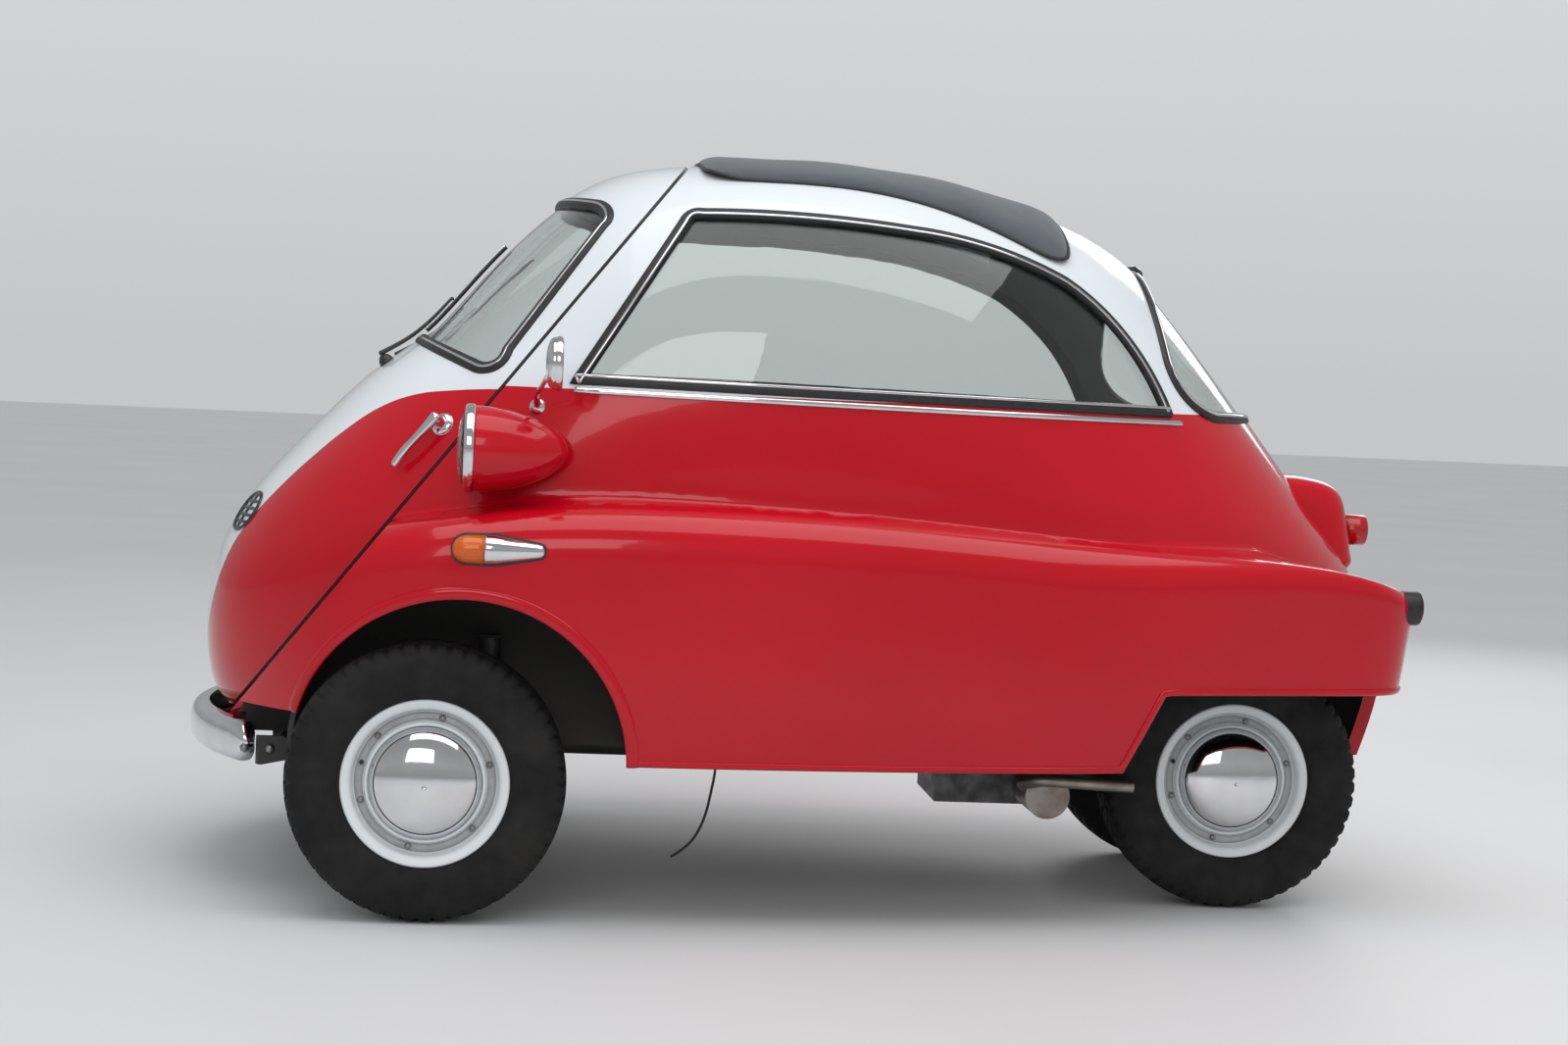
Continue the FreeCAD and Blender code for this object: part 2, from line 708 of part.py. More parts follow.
def make_seat():
    cushion = box(SEAT_X, (-SEAT_HALF, SEAT_HALF), SEAT_Z)
    cushion = cushion.makeFillet(28, cushion.Edges)
    save("seat_cushion", cushion)
    back = box((-80, 0), (-SEAT_HALF + 15, SEAT_HALF - 15), (0, BACKREST_TOP - SEAT_Z[1]))
    back = back.makeFillet(25, back.Edges)
    back.rotate(Vector(0, 0, 0), Vector(0, 1, 0), 6)
    back.translate(Vector(SEAT_X[1] + 2, 0, SEAT_Z[1] - 2.7))
    save("seat_backrest", back)
    low = SILL_Z + FLOOR_THICK
    rails = []
    for y in (-300.0, 300.0):
        front = (SEAT_X[0] + 60, y, low)
        rear = (SEAT_X[1] - 60, y, low)
        rails.append(rod(front, (front[0], y, SEAT_Z[0]), 12))
        rails.append(rod(rear, (rear[0], y, SEAT_Z[0]), 12))
        rails.append(rod((front[0], y, low + 40), (rear[0], y, low + 40), 12))
    rails.append(rod((SEAT_X[0] + 60, -300, low + 40), (SEAT_X[0] + 60, 300, low + 40), 12))
    rails.append(rod((SEAT_X[1] - 60, -300, low + 40), (SEAT_X[1] - 60, 300, low + 40), 12))
    save("seat_frame", join(rails))


# Lamps and trim on the body

def along_x(profile, y, z):
    """Turned about a line along x: the profile is (x, r)."""
    corners = [Vector(x, r, 0) for x, r in profile]
    face = Part.Face(Part.makePolygon(corners + corners[:1]))
    solid = face.revolve(Vector(0, 0, 0), Vector(1, 0, 0), 360)
    solid.translate(Vector(0, y, z))
    return solid


def bulge(x0, x1, radius, power, steps=10):
    """Radius falling from full at x0 to nothing at x1."""
    points = []
    for i in range(steps + 1):
        share = i / steps
        points.append((x0 + (x1 - x0) * share, radius * (1 - share ** power) ** (1 / power)))
    return points


def make_headlamps():
    x, y, z = HEADLAMP
    pod = along_x([(x, 0)] + bulge(x, x + HEADLAMP_LENGTH, HEADLAMP_RADIUS, 1.9), -y, z)
    save("headlamp_pods", pair(pod.cut(body_half())))
    rim = HEADLAMP_RADIUS
    ring = along_x([(x, rim - 8), (x, rim + 2), (x - 10, rim + 1), (x - 15, rim - 4), (x - 12, rim - 8)], -y, z)
    save("headlamp_rings", pair(ring.cut(body_half())))
    glass = [(x, 0), (x, rim - 8), (x - 12, rim - 8)]
    dome = bulge(x - 12, x - 28, rim - 8, 2.0, 6)
    save("headlamp_lenses", pair(along_x(glass + dome[1:], -y, z)))


def make_indicators():
    x, y, z = INDICATOR
    split = x + 55
    y = side_y(split, z) - 2
    lens = [(split, 0)] + [(split, 25)] + bulge(x + 30, x, 25, 2.0, 6)
    save("indicator_lenses", pair(along_x(lens, -y, z).cut(body_half())))
    end = x + INDICATOR_LENGTH
    barrel = [(split, 0), (split, 25), (end - 8, 13), (end, 5), (end, 0)]
    save("indicator_housings", pair(along_x(barrel, -y, z).cut(body_half())))


def make_tail_lights():
    lamp = rod((1760, -392, 588), (1822, -392, 588), 31)
    save("tail_lamps", pair(lamp.cut(body_half())))
    hump = outline([(1600, 815), (1700, 812), (1748, 796), (1768, 752), (1786, 640), (1600, 640)])
    hump = side_prism(hump, -110, 0).cut(body_half())
    hump = whole(hump).cut(rod((1762, 0, STOP_LAMP_Z), (1900, 0, STOP_LAMP_Z), 31))
    for y in (-PLATE_SCREWS / 2, PLATE_SCREWS / 2):
        hump = hump.cut(rod((1755, y, 700), (1850, y, 700), 3))
    save("plate_plinth", hump)
    save("stop_lamp", rod((1762, 0, STOP_LAMP_Z), (STOP_LAMP_X, 0, STOP_LAMP_Z), 31))


def make_bumper():
    radius = (BUMPER_HALF ** 2 + BUMPER_SWEEP ** 2) / (2 * BUMPER_SWEEP)
    half = BUMPER_HEIGHT / 2
    arcs = []
    for skin in (0, 4):
        arcs.append(Part.Arc(Vector(radius - 32, 0, -half + skin), Vector(radius - skin, 0, 0),
                             Vector(radius - 32, 0, half - skin)).toShape())
    ends = [Part.makeLine(Vector(radius - 32, 0, s * half), Vector(radius - 32, 0, s * (half - 4)))
            for s in (-1, 1)]
    face = Part.Face(Part.Wire(Part.__sortEdges__(arcs + ends)))
    angle = math.degrees(math.asin(BUMPER_HALF / radius))
    face.rotate(Vector(0, 0, 0), Vector(0, 0, 1), 180 - angle)
    bar = face.revolve(Vector(0, 0, 0), Vector(0, 0, 1), 2 * angle)
    bar.translate(Vector(BUMPER_FRONT_X + radius, 0, BUMPER_Z))
    save("front_bumper", bar)
    plate = outline([(-400, 284.7), (-262, 284.7), (-240, 268), (-240, 245), (-300, 232), (-400, 240)])
    plate = side_prism(plate, -408, -400)
    behind = Part.makeCylinder(radius - 32, 200, Vector(BUMPER_FRONT_X + radius, 0, BUMPER_Z - 100))
    save("bumper_brackets", pair(plate.common(behind)))


def make_mirrors():
    base = Vector(168, -side_y(168, 790) + 48, 896)
    neck = Vector(176, -590, 940)
    head = Vector(200, -655, 973)
    stem = join([rod(base, neck, 5), rod(neck, head, 5), Part.makeSphere(11, base),
                 Part.makeSphere(5, neck)])
    disc = Part.makeCylinder(45, 16, head - Vector(6, 0, 0), Vector(1, 0, 0))
    save("mirrors", pair(join([stem, disc]).cut(cabin_half())))


# Door and what it carries

def nose_x(y, z):
    """x of the door's skin at a place across the nose."""
    low, high = -500.0, AXIS_X
    for step in range(40):
        x = (low + high) / 2
        azimuth = math.atan2(abs(y), AXIS_X - x)
        flat = math.hypot(AXIS_X - x, y)
        if z <= 790:
            outside = flat > cabin_radius(azimuth, z)
        else:
            outside = flat > cabin_radius(azimuth, 790, math.atan2(z - 790, flat))
        if outside:
            low = x
        else:
            high = x
    return x


def hinge_line():
    low = Vector(seam_x(HINGE_LOW[1]), HINGE_LOW[0], HINGE_LOW[1])
    high = Vector(seam_x(HINGE_HIGH[1]), HINGE_HIGH[0], HINGE_HIGH[1])
    return low, high


def make_door():
    shell = cabin_half().cut(cabin_half(-WALL)).common(seam_side(True, DOOR_GAP))
    shell = shell.cut(side_prism(windscreen_edges(), -900, 10))
    save("front_door", whole(shell))
    low, high = hinge_line()
    along = high - low
    along.normalize()
    leaves = []
    butts = []
    for share in HINGE_STATIONS:
        middle = low + (high - low) * share
        pin = Part.makeCylinder(HINGE_PIN, 2 * HINGE_LENGTH, middle - along * HINGE_LENGTH, along)
        upper = Part.makeCylinder(HINGE_RADIUS, HINGE_LENGTH, middle + along * 0.5, along)
        bush = Part.makeCylinder(HINGE_RADIUS, HINGE_LENGTH, middle - along * (HINGE_LENGTH + 0.5), along)
        bore = Part.makeCylinder(HINGE_PIN + RUNNING_GAP, 2 * HINGE_LENGTH, middle - along * 40, along)
        plates = []
        for front in (True, False):
            depth = (3.5, 26) if front else (-26, -3.5)
            length = (5, HINGE_LENGTH - 4) if front else (-HINGE_LENGTH + 4, -5)
            plate = box(length, (-110, 2), depth)
            plate.rotate(Vector(0, 0, 0), Vector(0, 1, 0), -SEAM_SLOPE)
            plate.translate(middle)
            plates.append(plate)
        shaft = Part.makeCylinder(HINGE_RADIUS, HINGE_LENGTH, middle, along)
        leaf = plates[0].cut(mirrored(cabin_half())).fuse(upper).fuse(pin)
        butt = plates[1].cut(mirrored(body_half())).fuse(bush).cut(bore)
        leaves.append(leaf)
        butts.append(butt)
    save("door_hinges", Part.makeCompound(leaves))
    save("hinge_posts", Part.makeCompound(butts))


def make_dashboard():
    profile = outline([(-200, 962), (52, 962), (72, 940), (60, 906), (-200, 906)])
    inside = cabin_half(-WALL)
    panel = side_prism(profile, -430, 0).common(inside)
    save("dashboard", whole(panel))
    foot = Vector(*COLUMN_FOOT)
    centre = Vector(*WHEEL_CENTRE)
    along = centre - foot
    along.normalize()
    end = centre - along * 34
    struts = [rod(foot, end, COLUMN_RADIUS)]
    for share, z, sides in ((0.35, 470, (-70,)), (0.72, 850, (-70, 60))):
        start = foot + (end - foot) * share
        for side in sides:
            y = COLUMN_FOOT[1] + side
            struts.append(rod(start, (nose_x(y, z) + 10, y, z), 8))
    whole_inside = inside.fuse(mirrored(inside))
    save("steering_column", join(struts).common(whole_inside))
    rim = Part.makeTorus(WHEEL_RADIUS, WHEEL_RIM, centre, along)
    hub = Part.makeCylinder(28, 40, centre - along * 33.7, along)
    spokes = []
    for turn in (90, 210, 330):
        arm = Part.makeCylinder(7, WHEEL_RADIUS, centre - along * 6, Vector(0, 1, 0).cross(along))
        arm.rotate(centre, along, turn)
        spokes.append(arm)
    save("steering_wheel", join([rim, hub] + spokes))


def make_door_trim():
    pivots = []
    for y in (-150.0, 210.0):
        z = 962.0
        x = nose_x(y, z)
        top = z + 225
        tip = (nose_x(y + 70, top) - 12, y + 70, top)
        heel = (x - 16, y, z + 12)
        mid = (nose_x(y + 30, z + 110) - 16, y + 30, z + 110)
        boss = rod((x + 6, y, z - 8), (x - 22, y, z + 16), 15)
        arm = rod(heel, mid, 4)
        blade = rod((nose_x(y + 5, z + 62) - 9, y + 5, z + 62), tip, 5)
        pivots.append((boss, join([arm, rod(mid, (mid[0] + 9, mid[1] + 2, mid[2] - 6), 4), blade])))
    solid = cabin_half().fuse(mirrored(cabin_half()))
    rubber = cabin_half(SEAL_PROUD).fuse(mirrored(cabin_half(SEAL_PROUD)))
    save("wipers", Part.makeCompound([boss.cut(solid).fuse(arm.cut(rubber)) for boss, arm in pivots]))
    y = -469.0
    base = Vector(nose_x(y, 857), y, 857)
    tip = Vector(nose_x(-452, 783) - 16, -470, 783)
    heel = base + Vector(-14, -22, 6)
    lever = join([rod(base, heel, 17), rod(heel, tip, 8), Part.makeSphere(8.5, tip), Part.makeSphere(17, heel)])
    save("door_handle", lever.cut(solid))
    vent = cabin_half(4.0).cut(cabin_half())
    oval = Part.Face(Part.Wire(Part.Ellipse(Vector(0, 0, 0), 50, 38).toShape()))
    oval.rotate(Vector(0, 0, 0), Vector(0, 1, 0), 90)
    oval.translate(Vector(-500, -200, 675))
    save("vent_grilles", pair(vent.common(oval.extrude(Vector(300, 0, 0)))))


# Running gear

def path_tube(points, radius, bend):
    """Round bar along straight runs joined by arcs."""
    corners = [Vector(*p) for p in points]
    edges = []
    start = corners[0]
    for before, corner, after in zip(corners, corners[1:], corners[2:]):
        u = before - corner
        w = after - corner
        u.normalize()
        w.normalize()
        half_turn = (math.pi - u.getAngle(w)) / 2
        back = bend(before, corner, after) * math.tan(half_turn)
        a = corner + u * back
        c = corner + w * back
        inward = u + w
        inward.normalize()
        depth = bend(before, corner, after) * (1 / math.cos(half_turn) - 1)
        edges.append(Part.LineSegment(start, a).toShape())
        edges.append(Part.Arc(a, corner + inward * depth, c).toShape())
        start = c
    edges.append(Part.LineSegment(start, corners[-1]).toShape())
    wire = Part.Wire(edges)
    circle = Part.Wire(Part.Circle(corners[0], edges[0].tangentAt(edges[0].FirstParameter), radius).toShape())
    return wire.makePipeShell([circle], True, True)


def make_chassis():
    z = SILL_Z - RAIL_RADIUS
    high = z + RAIL_KICK
    parts = []
    for y in (-RAIL_Y, RAIL_Y):
        parts.append(path_tube([(-300, y, z), (1190, y, z), (1300, y, high), (1720, y, high)],
                               RAIL_RADIUS, lambda a, b, c: 70.0))
    parts.append(rod((-262, -400, z), (-262, 400, z), 18))
    parts.append(rod((420, -RAIL_Y, z), (420, RAIL_Y, z), 20))
    parts.append(rod((1700, -RAIL_Y, high), (1700, RAIL_Y, high), 20))
    save("chassis_frame", join(parts))
    return parts


def make_front_axle(frame):
    axle_z = TYRE_RADIUS
    half_track = FRONT_TRACK / 2
    kingpin = half_track - KINGPIN_INSET
    beam = [rod((0, -470, AXLE_BEAM_Z), (0, 470, AXLE_BEAM_Z), AXLE_BEAM_RADIUS)]
    for s in (-1, 1):
        beam.append(box((-25, 25), (s * (RAIL_Y - 20), s * (RAIL_Y + 20)), (AXLE_BEAM_Z, SILL_Z - RAIL_RADIUS)))
        low = axle_z - YOKE_HALF - YOKE_ARM
        high = axle_z + YOKE_HALF + YOKE_ARM
        beam.append(box((-YOKE_WIDTH, YOKE_WIDTH), (s * 455, s * 490), (low, high)))
        for z in (low, high - YOKE_ARM):
            beam.append(box((-YOKE_WIDTH, YOKE_WIDTH), (s * 488, s * (kingpin + 17)), (z, z + YOKE_ARM)))
        beam.append(box((0, 125), (s * 422, s * 458), (AXLE_BEAM_Z - 24, AXLE_BEAM_Z)))
        beam.append(rod((100, s * 440, AXLE_BEAM_Z - 10), (100, s * 440, 480), 20))
        beam.append(rod((100, s * 440, 290), (100, s * 440, 400), 24))
        beam.append(box((80, 120), (s * 401, s * 440), (470, 482)))
    axle = join(beam).cut(frame)
    for s in (-1, 1):
        axle = axle.cut(rod((0, s * kingpin, 100), (0, s * kingpin, 400), KINGPIN_RADIUS + RUNNING_GAP))
    save("front_axle", axle)
    for side, s in (("left", -1), ("right", 1)):
        low = axle_z - YOKE_HALF
        high = axle_z + YOKE_HALF
        pin = rod((0, s * kingpin, low - YOKE_ARM), (0, s * kingpin, high + YOKE_ARM), KINGPIN_RADIUS)
        barrel = rod((0, s * kingpin, low + 0.5), (0, s * kingpin, high - 0.5), 16)
        stub = rod((0, s * kingpin, axle_z), (0, s * (half_track + 37), axle_z), STUB_RADIUS)
        tip = (STEERING_ARM, s * kingpin, STEERING_ARM_Z)
        arm = join([rod((0, s * kingpin, STEERING_ARM_Z), tip, STEERING_ARM_RADIUS),
                    rod((tip[0], tip[1], tip[2] - 9), (tip[0], tip[1], TIE_ROD_Z - 8), 10),
                    rod(tip, (tip[0], tip[1], TIE_ROD_Z + 10), TIE_PIN_RADIUS)])
        save("knuckle_" + side, join([pin, barrel, stub, arm]))
    x, z = STEERING_ARM, TIE_ROD_Z
    ends = [Part.makeCylinder(11, 15, Vector(x, s * kingpin, z - 7.5)) for s in (-1, 1)]
    bar = join([rod((x, -kingpin, z), (x, kingpin, z), TIE_ROD_RADIUS)] + ends)
    for s in (-1, 1):
        bar = bar.cut(Part.makeCylinder(TIE_PIN_RADIUS + RUNNING_GAP, 40, Vector(x, s * kingpin, z - 20)))
    save("tie_rod", bar)


def wheel_profiles():
    rim = [(STUB_RADIUS + RUNNING_GAP, 12), (30, 12), (30, 32), (95, 32), (108, 24), (116, 12), (117, -46),
           (126, -52), (145, -52), (145, -47), (131, -46), (127, -38), (127, 38), (131, 46),
           (145, 47), (145, 52), (127, 52), (123, 44), (121, 26), (112, 31), (100, 38),
           (STUB_RADIUS + RUNNING_GAP, 38)]
    side = [(127.3, 37.7), (131.4, 45.6), (146.5, 46.8), (147, 57), (160, 64), (190, TYRE_WIDTH / 2),
            (214, 65), (230, 59), (239, 50), (TYRE_RADIUS, 34), (TYRE_RADIUS, 0)]
    tyre = side + [(r, -y) for r, y in reversed(side[:-1])]
    cap = [(HUBCAP_RADIUS, 38)] + [(HUBCAP_RADIUS * math.cos(math.radians(a)), 41 + HUBCAP_DEPTH * math.sin(math.radians(a)))
                                   for a in range(0, 91, 10)]
    cap += [((HUBCAP_RADIUS - 4) * math.cos(math.radians(a)), 41 + (HUBCAP_DEPTH - 4) * math.sin(math.radians(a)))
            for a in range(90, -1, -15)]
    cap.append((HUBCAP_RADIUS - 4, 38))
    cap = [(max(r, 0.0), y) for r, y in cap]
    return rim, tyre, cap


def make_wheels():
    rim, tyre, cap = wheel_profiles()
    for side, s in (("left", -1), ("right", 1)):
        centre = (0, s * FRONT_TRACK / 2, TYRE_RADIUS)
        for name, profile in (("rim", rim), ("tyre", tyre), ("hubcap", cap)):
            save("front_" + name + "_" + side, turned([(r, s * y) for r, y in profile], centre))
    shaft = SHAFT_RADIUS + RUNNING_GAP - STUB_RADIUS - RUNNING_GAP
    rear_rim = [(max(r, SHAFT_RADIUS + RUNNING_GAP), y) for r, y in rim]
    for name, profile in (("rims", rear_rim), ("tyres", tyre), ("hubcaps", cap)):
        shapes = [turned([(r, s * y) for r, y in profile], (WHEELBASE, s * REAR_TRACK / 2, TYRE_RADIUS))
                  for s in (-1, 1)]
        save("rear_" + name, Part.makeCompound(shapes))
    reach_y = REAR_TRACK / 2 + 37
    save("rear_axle_shaft", rod((WHEELBASE, -reach_y, TYRE_RADIUS), (WHEELBASE, reach_y, TYRE_RADIUS), SHAFT_RADIUS))


def make_rear_axle(frame):
    x, z = WHEELBASE, TYRE_RADIUS
    casing = [rod((x, -CASING_HALF, z), (x, CASING_HALF, z), CASING_RADIUS),
              box((1190, x + 30), (-35, 35), (z - 38, z + 38))]
    strip = outline([(1080, 239), (1200, 237), (x - 30, z - 24), (x + 30, z - 24), (x + 30, z - 41),
                     (x - 30, z - 41), (1200, 222), (1080, 225)])
    for y in (-172, 142):
        casing.append(side_prism(strip, y, y + 30))
    body = join(casing).cut(rod((x, -300, z), (x, 300, z), SHAFT_RADIUS + RUNNING_GAP)).cut(frame)
    save("rear_axle_casing", body)


def make_engine(frame):
    block = join([box((1012, 1189), (-122, 122), (238, 430)),
                  box((965, 1189), (-118, 118), (158, 245)),
                  box((1012, 1232), (100, 300), (300, 430)),
                  box((1012, 1232), (188, 440), (190, 560))])
    save("engine", block.cut(frame))
    muffler = rod((1146, -330, 205), (1146, -186, 205), 42)
    pipe = path_tube([(1100, -310, 225), (1130, -352, 240), (1302, -352, 232)], 12.5, lambda a, b, c: 30.0)
    feed = rod((1146, -190, 198), (1146, -118, 198), 16)
    save("exhaust", join([muffler, pipe, feed]))


def make_controls():
    low = SILL_Z + FLOOR_THICK
    under = box((-400, 700), (-600, 600), (0, low))
    pedals = []
    for y in (120.0, 195.0, 345.0):
        arm = rod((-120, y, low), (-205, y, low + 120), 6)
        pad = box((-8, 8), (-26, 26), (-22, 30))
        pad.rotate(Vector(0, 0, 0), Vector(0, 1, 0), -35)
        pad.translate(Vector(-205, y, low + 120))
        pedals.append(join([arm, pad]).cut(under))
    save("pedals", Part.makeCompound(pedals))
    lever = join([rod((400, 470, low), (385, 452, low + 230), 7), Part.makeSphere(19, Vector(385, 452, low + 240))])
    brake = join([rod((430, 30, low), (350, 30, low + 25), 9), rod((350, 30, low + 25), (235, 30, low + 105), 9)])
    save("hand_levers", Part.makeCompound([lever.cut(under), brake.cut(under)]))
    x, y, z = COLUMN_FOOT
    gearbox = box((x - 45, x + 35), (y - 32, y + 32), (low, z - 27))
    save("steering_box", gearbox)


def make_cable():
    route = [(522, -350, SILL_Z - 12), (521, -350, 236), (514, -352, 198), (507, -356, 160), (492, -360, 122),
             (470, -362, 94), (444, -362, 78)]

    def bend(before, corner, after):
        u = before - corner
        w = after - corner
        half_turn = (math.pi - u.getAngle(w)) / 2
        return 0.45 * min(u.Length, w.Length) / math.tan(half_turn)
    tube_solid = path_tube(route, CABLE_RADIUS, bend)
    save("loose_cable", tube_solid)
    save("cable_grommet", Part.makeCone(7, 9, 12, Vector(522, -350, SILL_Z - 12)))
    corners = [Vector(*p) for p in route]
    length = sum((b - a).Length for a, b in zip(corners, corners[1:]))
    radii = [round(bend(a, b, c)) for a, b, c in zip(corners, corners[1:], corners[2:])]
    print("cable runs", round(length), "mm, bend radii", radii)
    print("cable volume ratio", tube_solid.Volume / (math.pi * CABLE_RADIUS ** 2 * length))


def main():
    make_body()
    make_windows()
    make_folding_roof()
    make_floor()
    make_seat()
    make_headlamps()
    make_indicators()
    make_tail_lights()
    make_bumper()
    make_mirrors()
    make_door()
    make_dashboard()
    make_door_trim()
    frame = make_chassis()
    make_front_axle(frame)
    make_wheels()
    make_rear_axle(frame)
    make_engine(frame)
    make_controls()
    make_cable()
    boxes = [shape.BoundBox for shape in SAVED.values()]
    print("x", min(b.XMin for b in boxes), max(b.XMax for b in boxes))
    print("y", min(b.YMin for b in boxes), max(b.YMax for b in boxes))
    print("z", min(b.ZMin for b in boxes), max(b.ZMax for b in boxes))
    print("front axle x", round(-MIDDLE_X, 3), "nodes", len(SAVED))


main()
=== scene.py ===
# %% [markdown]
# A bubble car dressed for its portrait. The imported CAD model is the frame: it holds every piece at its real
# size, and this notebook gives each of them the surface and the finish of the real car. Lengths are in
# millimetres from the front axle while a shape is worked out, and in metres of the shared frame in the mesh.

# %% Load the frame
import bmesh
import bpy
import math
import numpy as np
from mathutils import Matrix


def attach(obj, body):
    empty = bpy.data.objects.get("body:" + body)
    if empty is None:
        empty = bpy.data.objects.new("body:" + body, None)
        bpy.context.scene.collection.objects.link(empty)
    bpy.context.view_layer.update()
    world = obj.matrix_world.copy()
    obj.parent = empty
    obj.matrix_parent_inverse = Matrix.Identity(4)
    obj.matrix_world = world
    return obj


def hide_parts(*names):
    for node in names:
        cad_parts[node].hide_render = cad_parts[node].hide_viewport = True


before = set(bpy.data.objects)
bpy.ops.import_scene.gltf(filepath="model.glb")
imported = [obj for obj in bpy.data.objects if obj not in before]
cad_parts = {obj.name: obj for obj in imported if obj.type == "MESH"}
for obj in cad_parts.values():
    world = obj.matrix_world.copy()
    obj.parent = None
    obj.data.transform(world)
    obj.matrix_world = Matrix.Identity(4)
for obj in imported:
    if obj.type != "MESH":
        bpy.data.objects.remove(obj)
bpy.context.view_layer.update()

# %% [markdown]
# The camera stands where the photographer stood: low, on the car's left, a little ahead of its middle. A long
# lens keeps the egg shape from bulging.

# %% Camera
AXLE = 684.0
AXIS = 600.0


def camera_frame(yaw, pitch, roll):
    """Right, up and forward of a camera turned about z by yaw, tipped down by pitch, then rolled about its view."""
    cy, sy, cp, sp = math.cos(yaw), math.sin(yaw), math.cos(pitch), math.sin(pitch)
    right, up, ahead = np.array([cy, -sy, 0.0]), np.array([0, 0, 1.0]), np.array([sy, cy, 0.0])
    ahead, up = ahead * cp - up * sp, up * cp + ahead * sp
    return right * math.cos(roll) + up * math.sin(roll), up * math.cos(roll) - right * math.sin(roll), ahead


right, up, ahead = camera_frame(math.radians(5.41), math.radians(3.025), math.radians(2.52))
camera = bpy.data.objects.new("camera", bpy.data.cameras.new("camera"))
camera.data.lens = 64.64
camera.data.sensor_width = 36.0
place = np.eye(4)
place[:3, 0], place[:3, 1], place[:3, 2] = right, up, -ahead
place[:3, 3] = (0.1409 - AXLE / 1000, -5.4864, 0.9727)
camera.matrix_world = Matrix(place.tolist())
bpy.context.scene.collection.objects.link(camera)
bpy.context.scene.camera = camera
print("camera at", place[:3, 3].round(3))

# %% [markdown]
# The skin of this car is one smooth egg with a wing swelling out behind the door's seam. It could be a net of
# control points pushed about by hand, but then glass, rubber and paint would each follow it a little differently.
# Here it is a formula instead, fed by the outlines of nose, side, tail, wing and shoulder as points in millimetres.

# %% Outlines of the body
NOSE = [(-300, 240), (-382, 291), (-423, 341), (-441, 460), (-421, 598), (-361, 710), (-257, 831),
        (-163, 927), (-105, 975), (-45, 1020), (70, 1152), (206, 1283), (289, 1330), (355, 1346),
        (440, 1358), (600, 1368)]
TAIL = [(1730, 240), (1760, 320), (1788, 400), (1802, 470), (1802, 540), (1782, 622), (1732, 700),
        (1668, 781), (1601, 866), (1555, 924), (1496, 998), (1411, 1100), (1340, 1178),
        (1288, 1222), (1206, 1268), (1085, 1309), (940, 1341), (780, 1361), (600, 1368)]
CABIN = [(500, 240), (530, 340), (560, 480), (580, 640), (588, 780), (586, 900), (572, 1010),
         (545, 1110), (500, 1205), (430, 1285), (330, 1332), (180, 1360), (0, 1368)]
WING = [(-470, 0), (-455, 180), (-420, 330), (-340, 455), (-250, 560), (-150, 635), (0, 682),
        (150, 692), (450, 686), (800, 656), (1150, 598), (1450, 528), (1650, 478), (1745, 447),
        (1797, 400), (1817, 320), (1826, 180), (1828, 0)]
SHOULDER = [(-400, 660), (-100, 695), (127, 726), (431, 738), (774, 730), (1122, 705),
            (1476, 677), (1664, 660), (1740, 645), (1830, 616)]


def natural_spline(t, values):
    """Natural cubic spline: second derivatives solve a tridiagonal system, then each span is its cubic."""
    t, values = np.asarray(t, float), np.asarray(values, float)
    n, h = len(t), np.diff(t)
    rows = np.arange(1, n - 1)
    system, slopes = np.eye(n), np.zeros(n)
    system[rows, rows - 1], system[rows, rows], system[rows, rows + 1] = h[:-1], 2 * (h[:-1] + h[1:]), h[1:]
    slopes[1:-1] = 6 * np.diff(np.diff(values) / h)
    bend = np.linalg.solve(system, slopes)

    def value(s):
        k = np.clip(np.searchsorted(t, s) - 1, 0, n - 2)
        a, b = t[k + 1] - s, s - t[k]
        return ((bend[k] * a ** 3 + bend[k + 1] * b ** 3) / (6 * h[k]) + (values[k] / h[k] - bend[k] * h[k] / 6) * a
                + (values[k + 1] / h[k] - bend[k + 1] * h[k] / 6) * b)
    return value


def fine_line(points, steps=24):
    """Points along the spline through the given ones, spaced by the square root of each chord."""
    points = np.asarray(points, float)
    along = np.concatenate([[0], np.cumsum(np.sqrt(np.hypot(*np.diff(points, axis=0).T)))])
    fine = np.interp(np.arange((len(points) - 1) * steps + 1) / steps, np.arange(len(points)), along)
    return np.column_stack([natural_spline(along, points[:, k])(fine) for k in (0, 1)])


nose_line = fine_line([(AXIS - x, z) for x, z in NOSE])
tail_line = fine_line([(x - AXIS, z) for x, z in TAIL])
side_line = fine_line(CABIN)
wing_line = fine_line(WING)
wing_turn = np.arctan2(wing_line[:, 1], AXIS - wing_line[:, 0])
wing_out = np.hypot(AXIS - wing_line[:, 0], wing_line[:, 1])
shoulder_height = natural_spline(*np.array(SHOULDER, float).T)
print("outline points", len(nose_line), len(tail_line), len(side_line), len(wing_line))

# %% [markdown]
# Seen from an upright axis in the middle of the cabin, the skin is a distance in every direction. For a place on
# it, that is where a ray from the axis meets the outlines, and a superellipse blends from nose or tail to side.

# %% Distance of the skin from the axis


def reach(line, height, tilt):
    """Where a ray from the axis at a height, tilted up, meets an outline: the first change of side along it."""
    side = (line[:, 1] - height[..., None]) * np.cos(tilt)[..., None] - line[:, 0] * np.sin(tilt)[..., None]
    k = np.clip(np.argmax(side >= 0, axis=-1), 1, len(line) - 1)
    before = np.take_along_axis(side, k[..., None] - 1, -1)[..., 0]
    after = np.take_along_axis(side, k[..., None], -1)[..., 0]
    share = np.clip(before / np.where(before == after, 1, before - after), 0, 1)
    return line[k - 1, 0] + (line[k, 0] - line[k - 1, 0]) * share


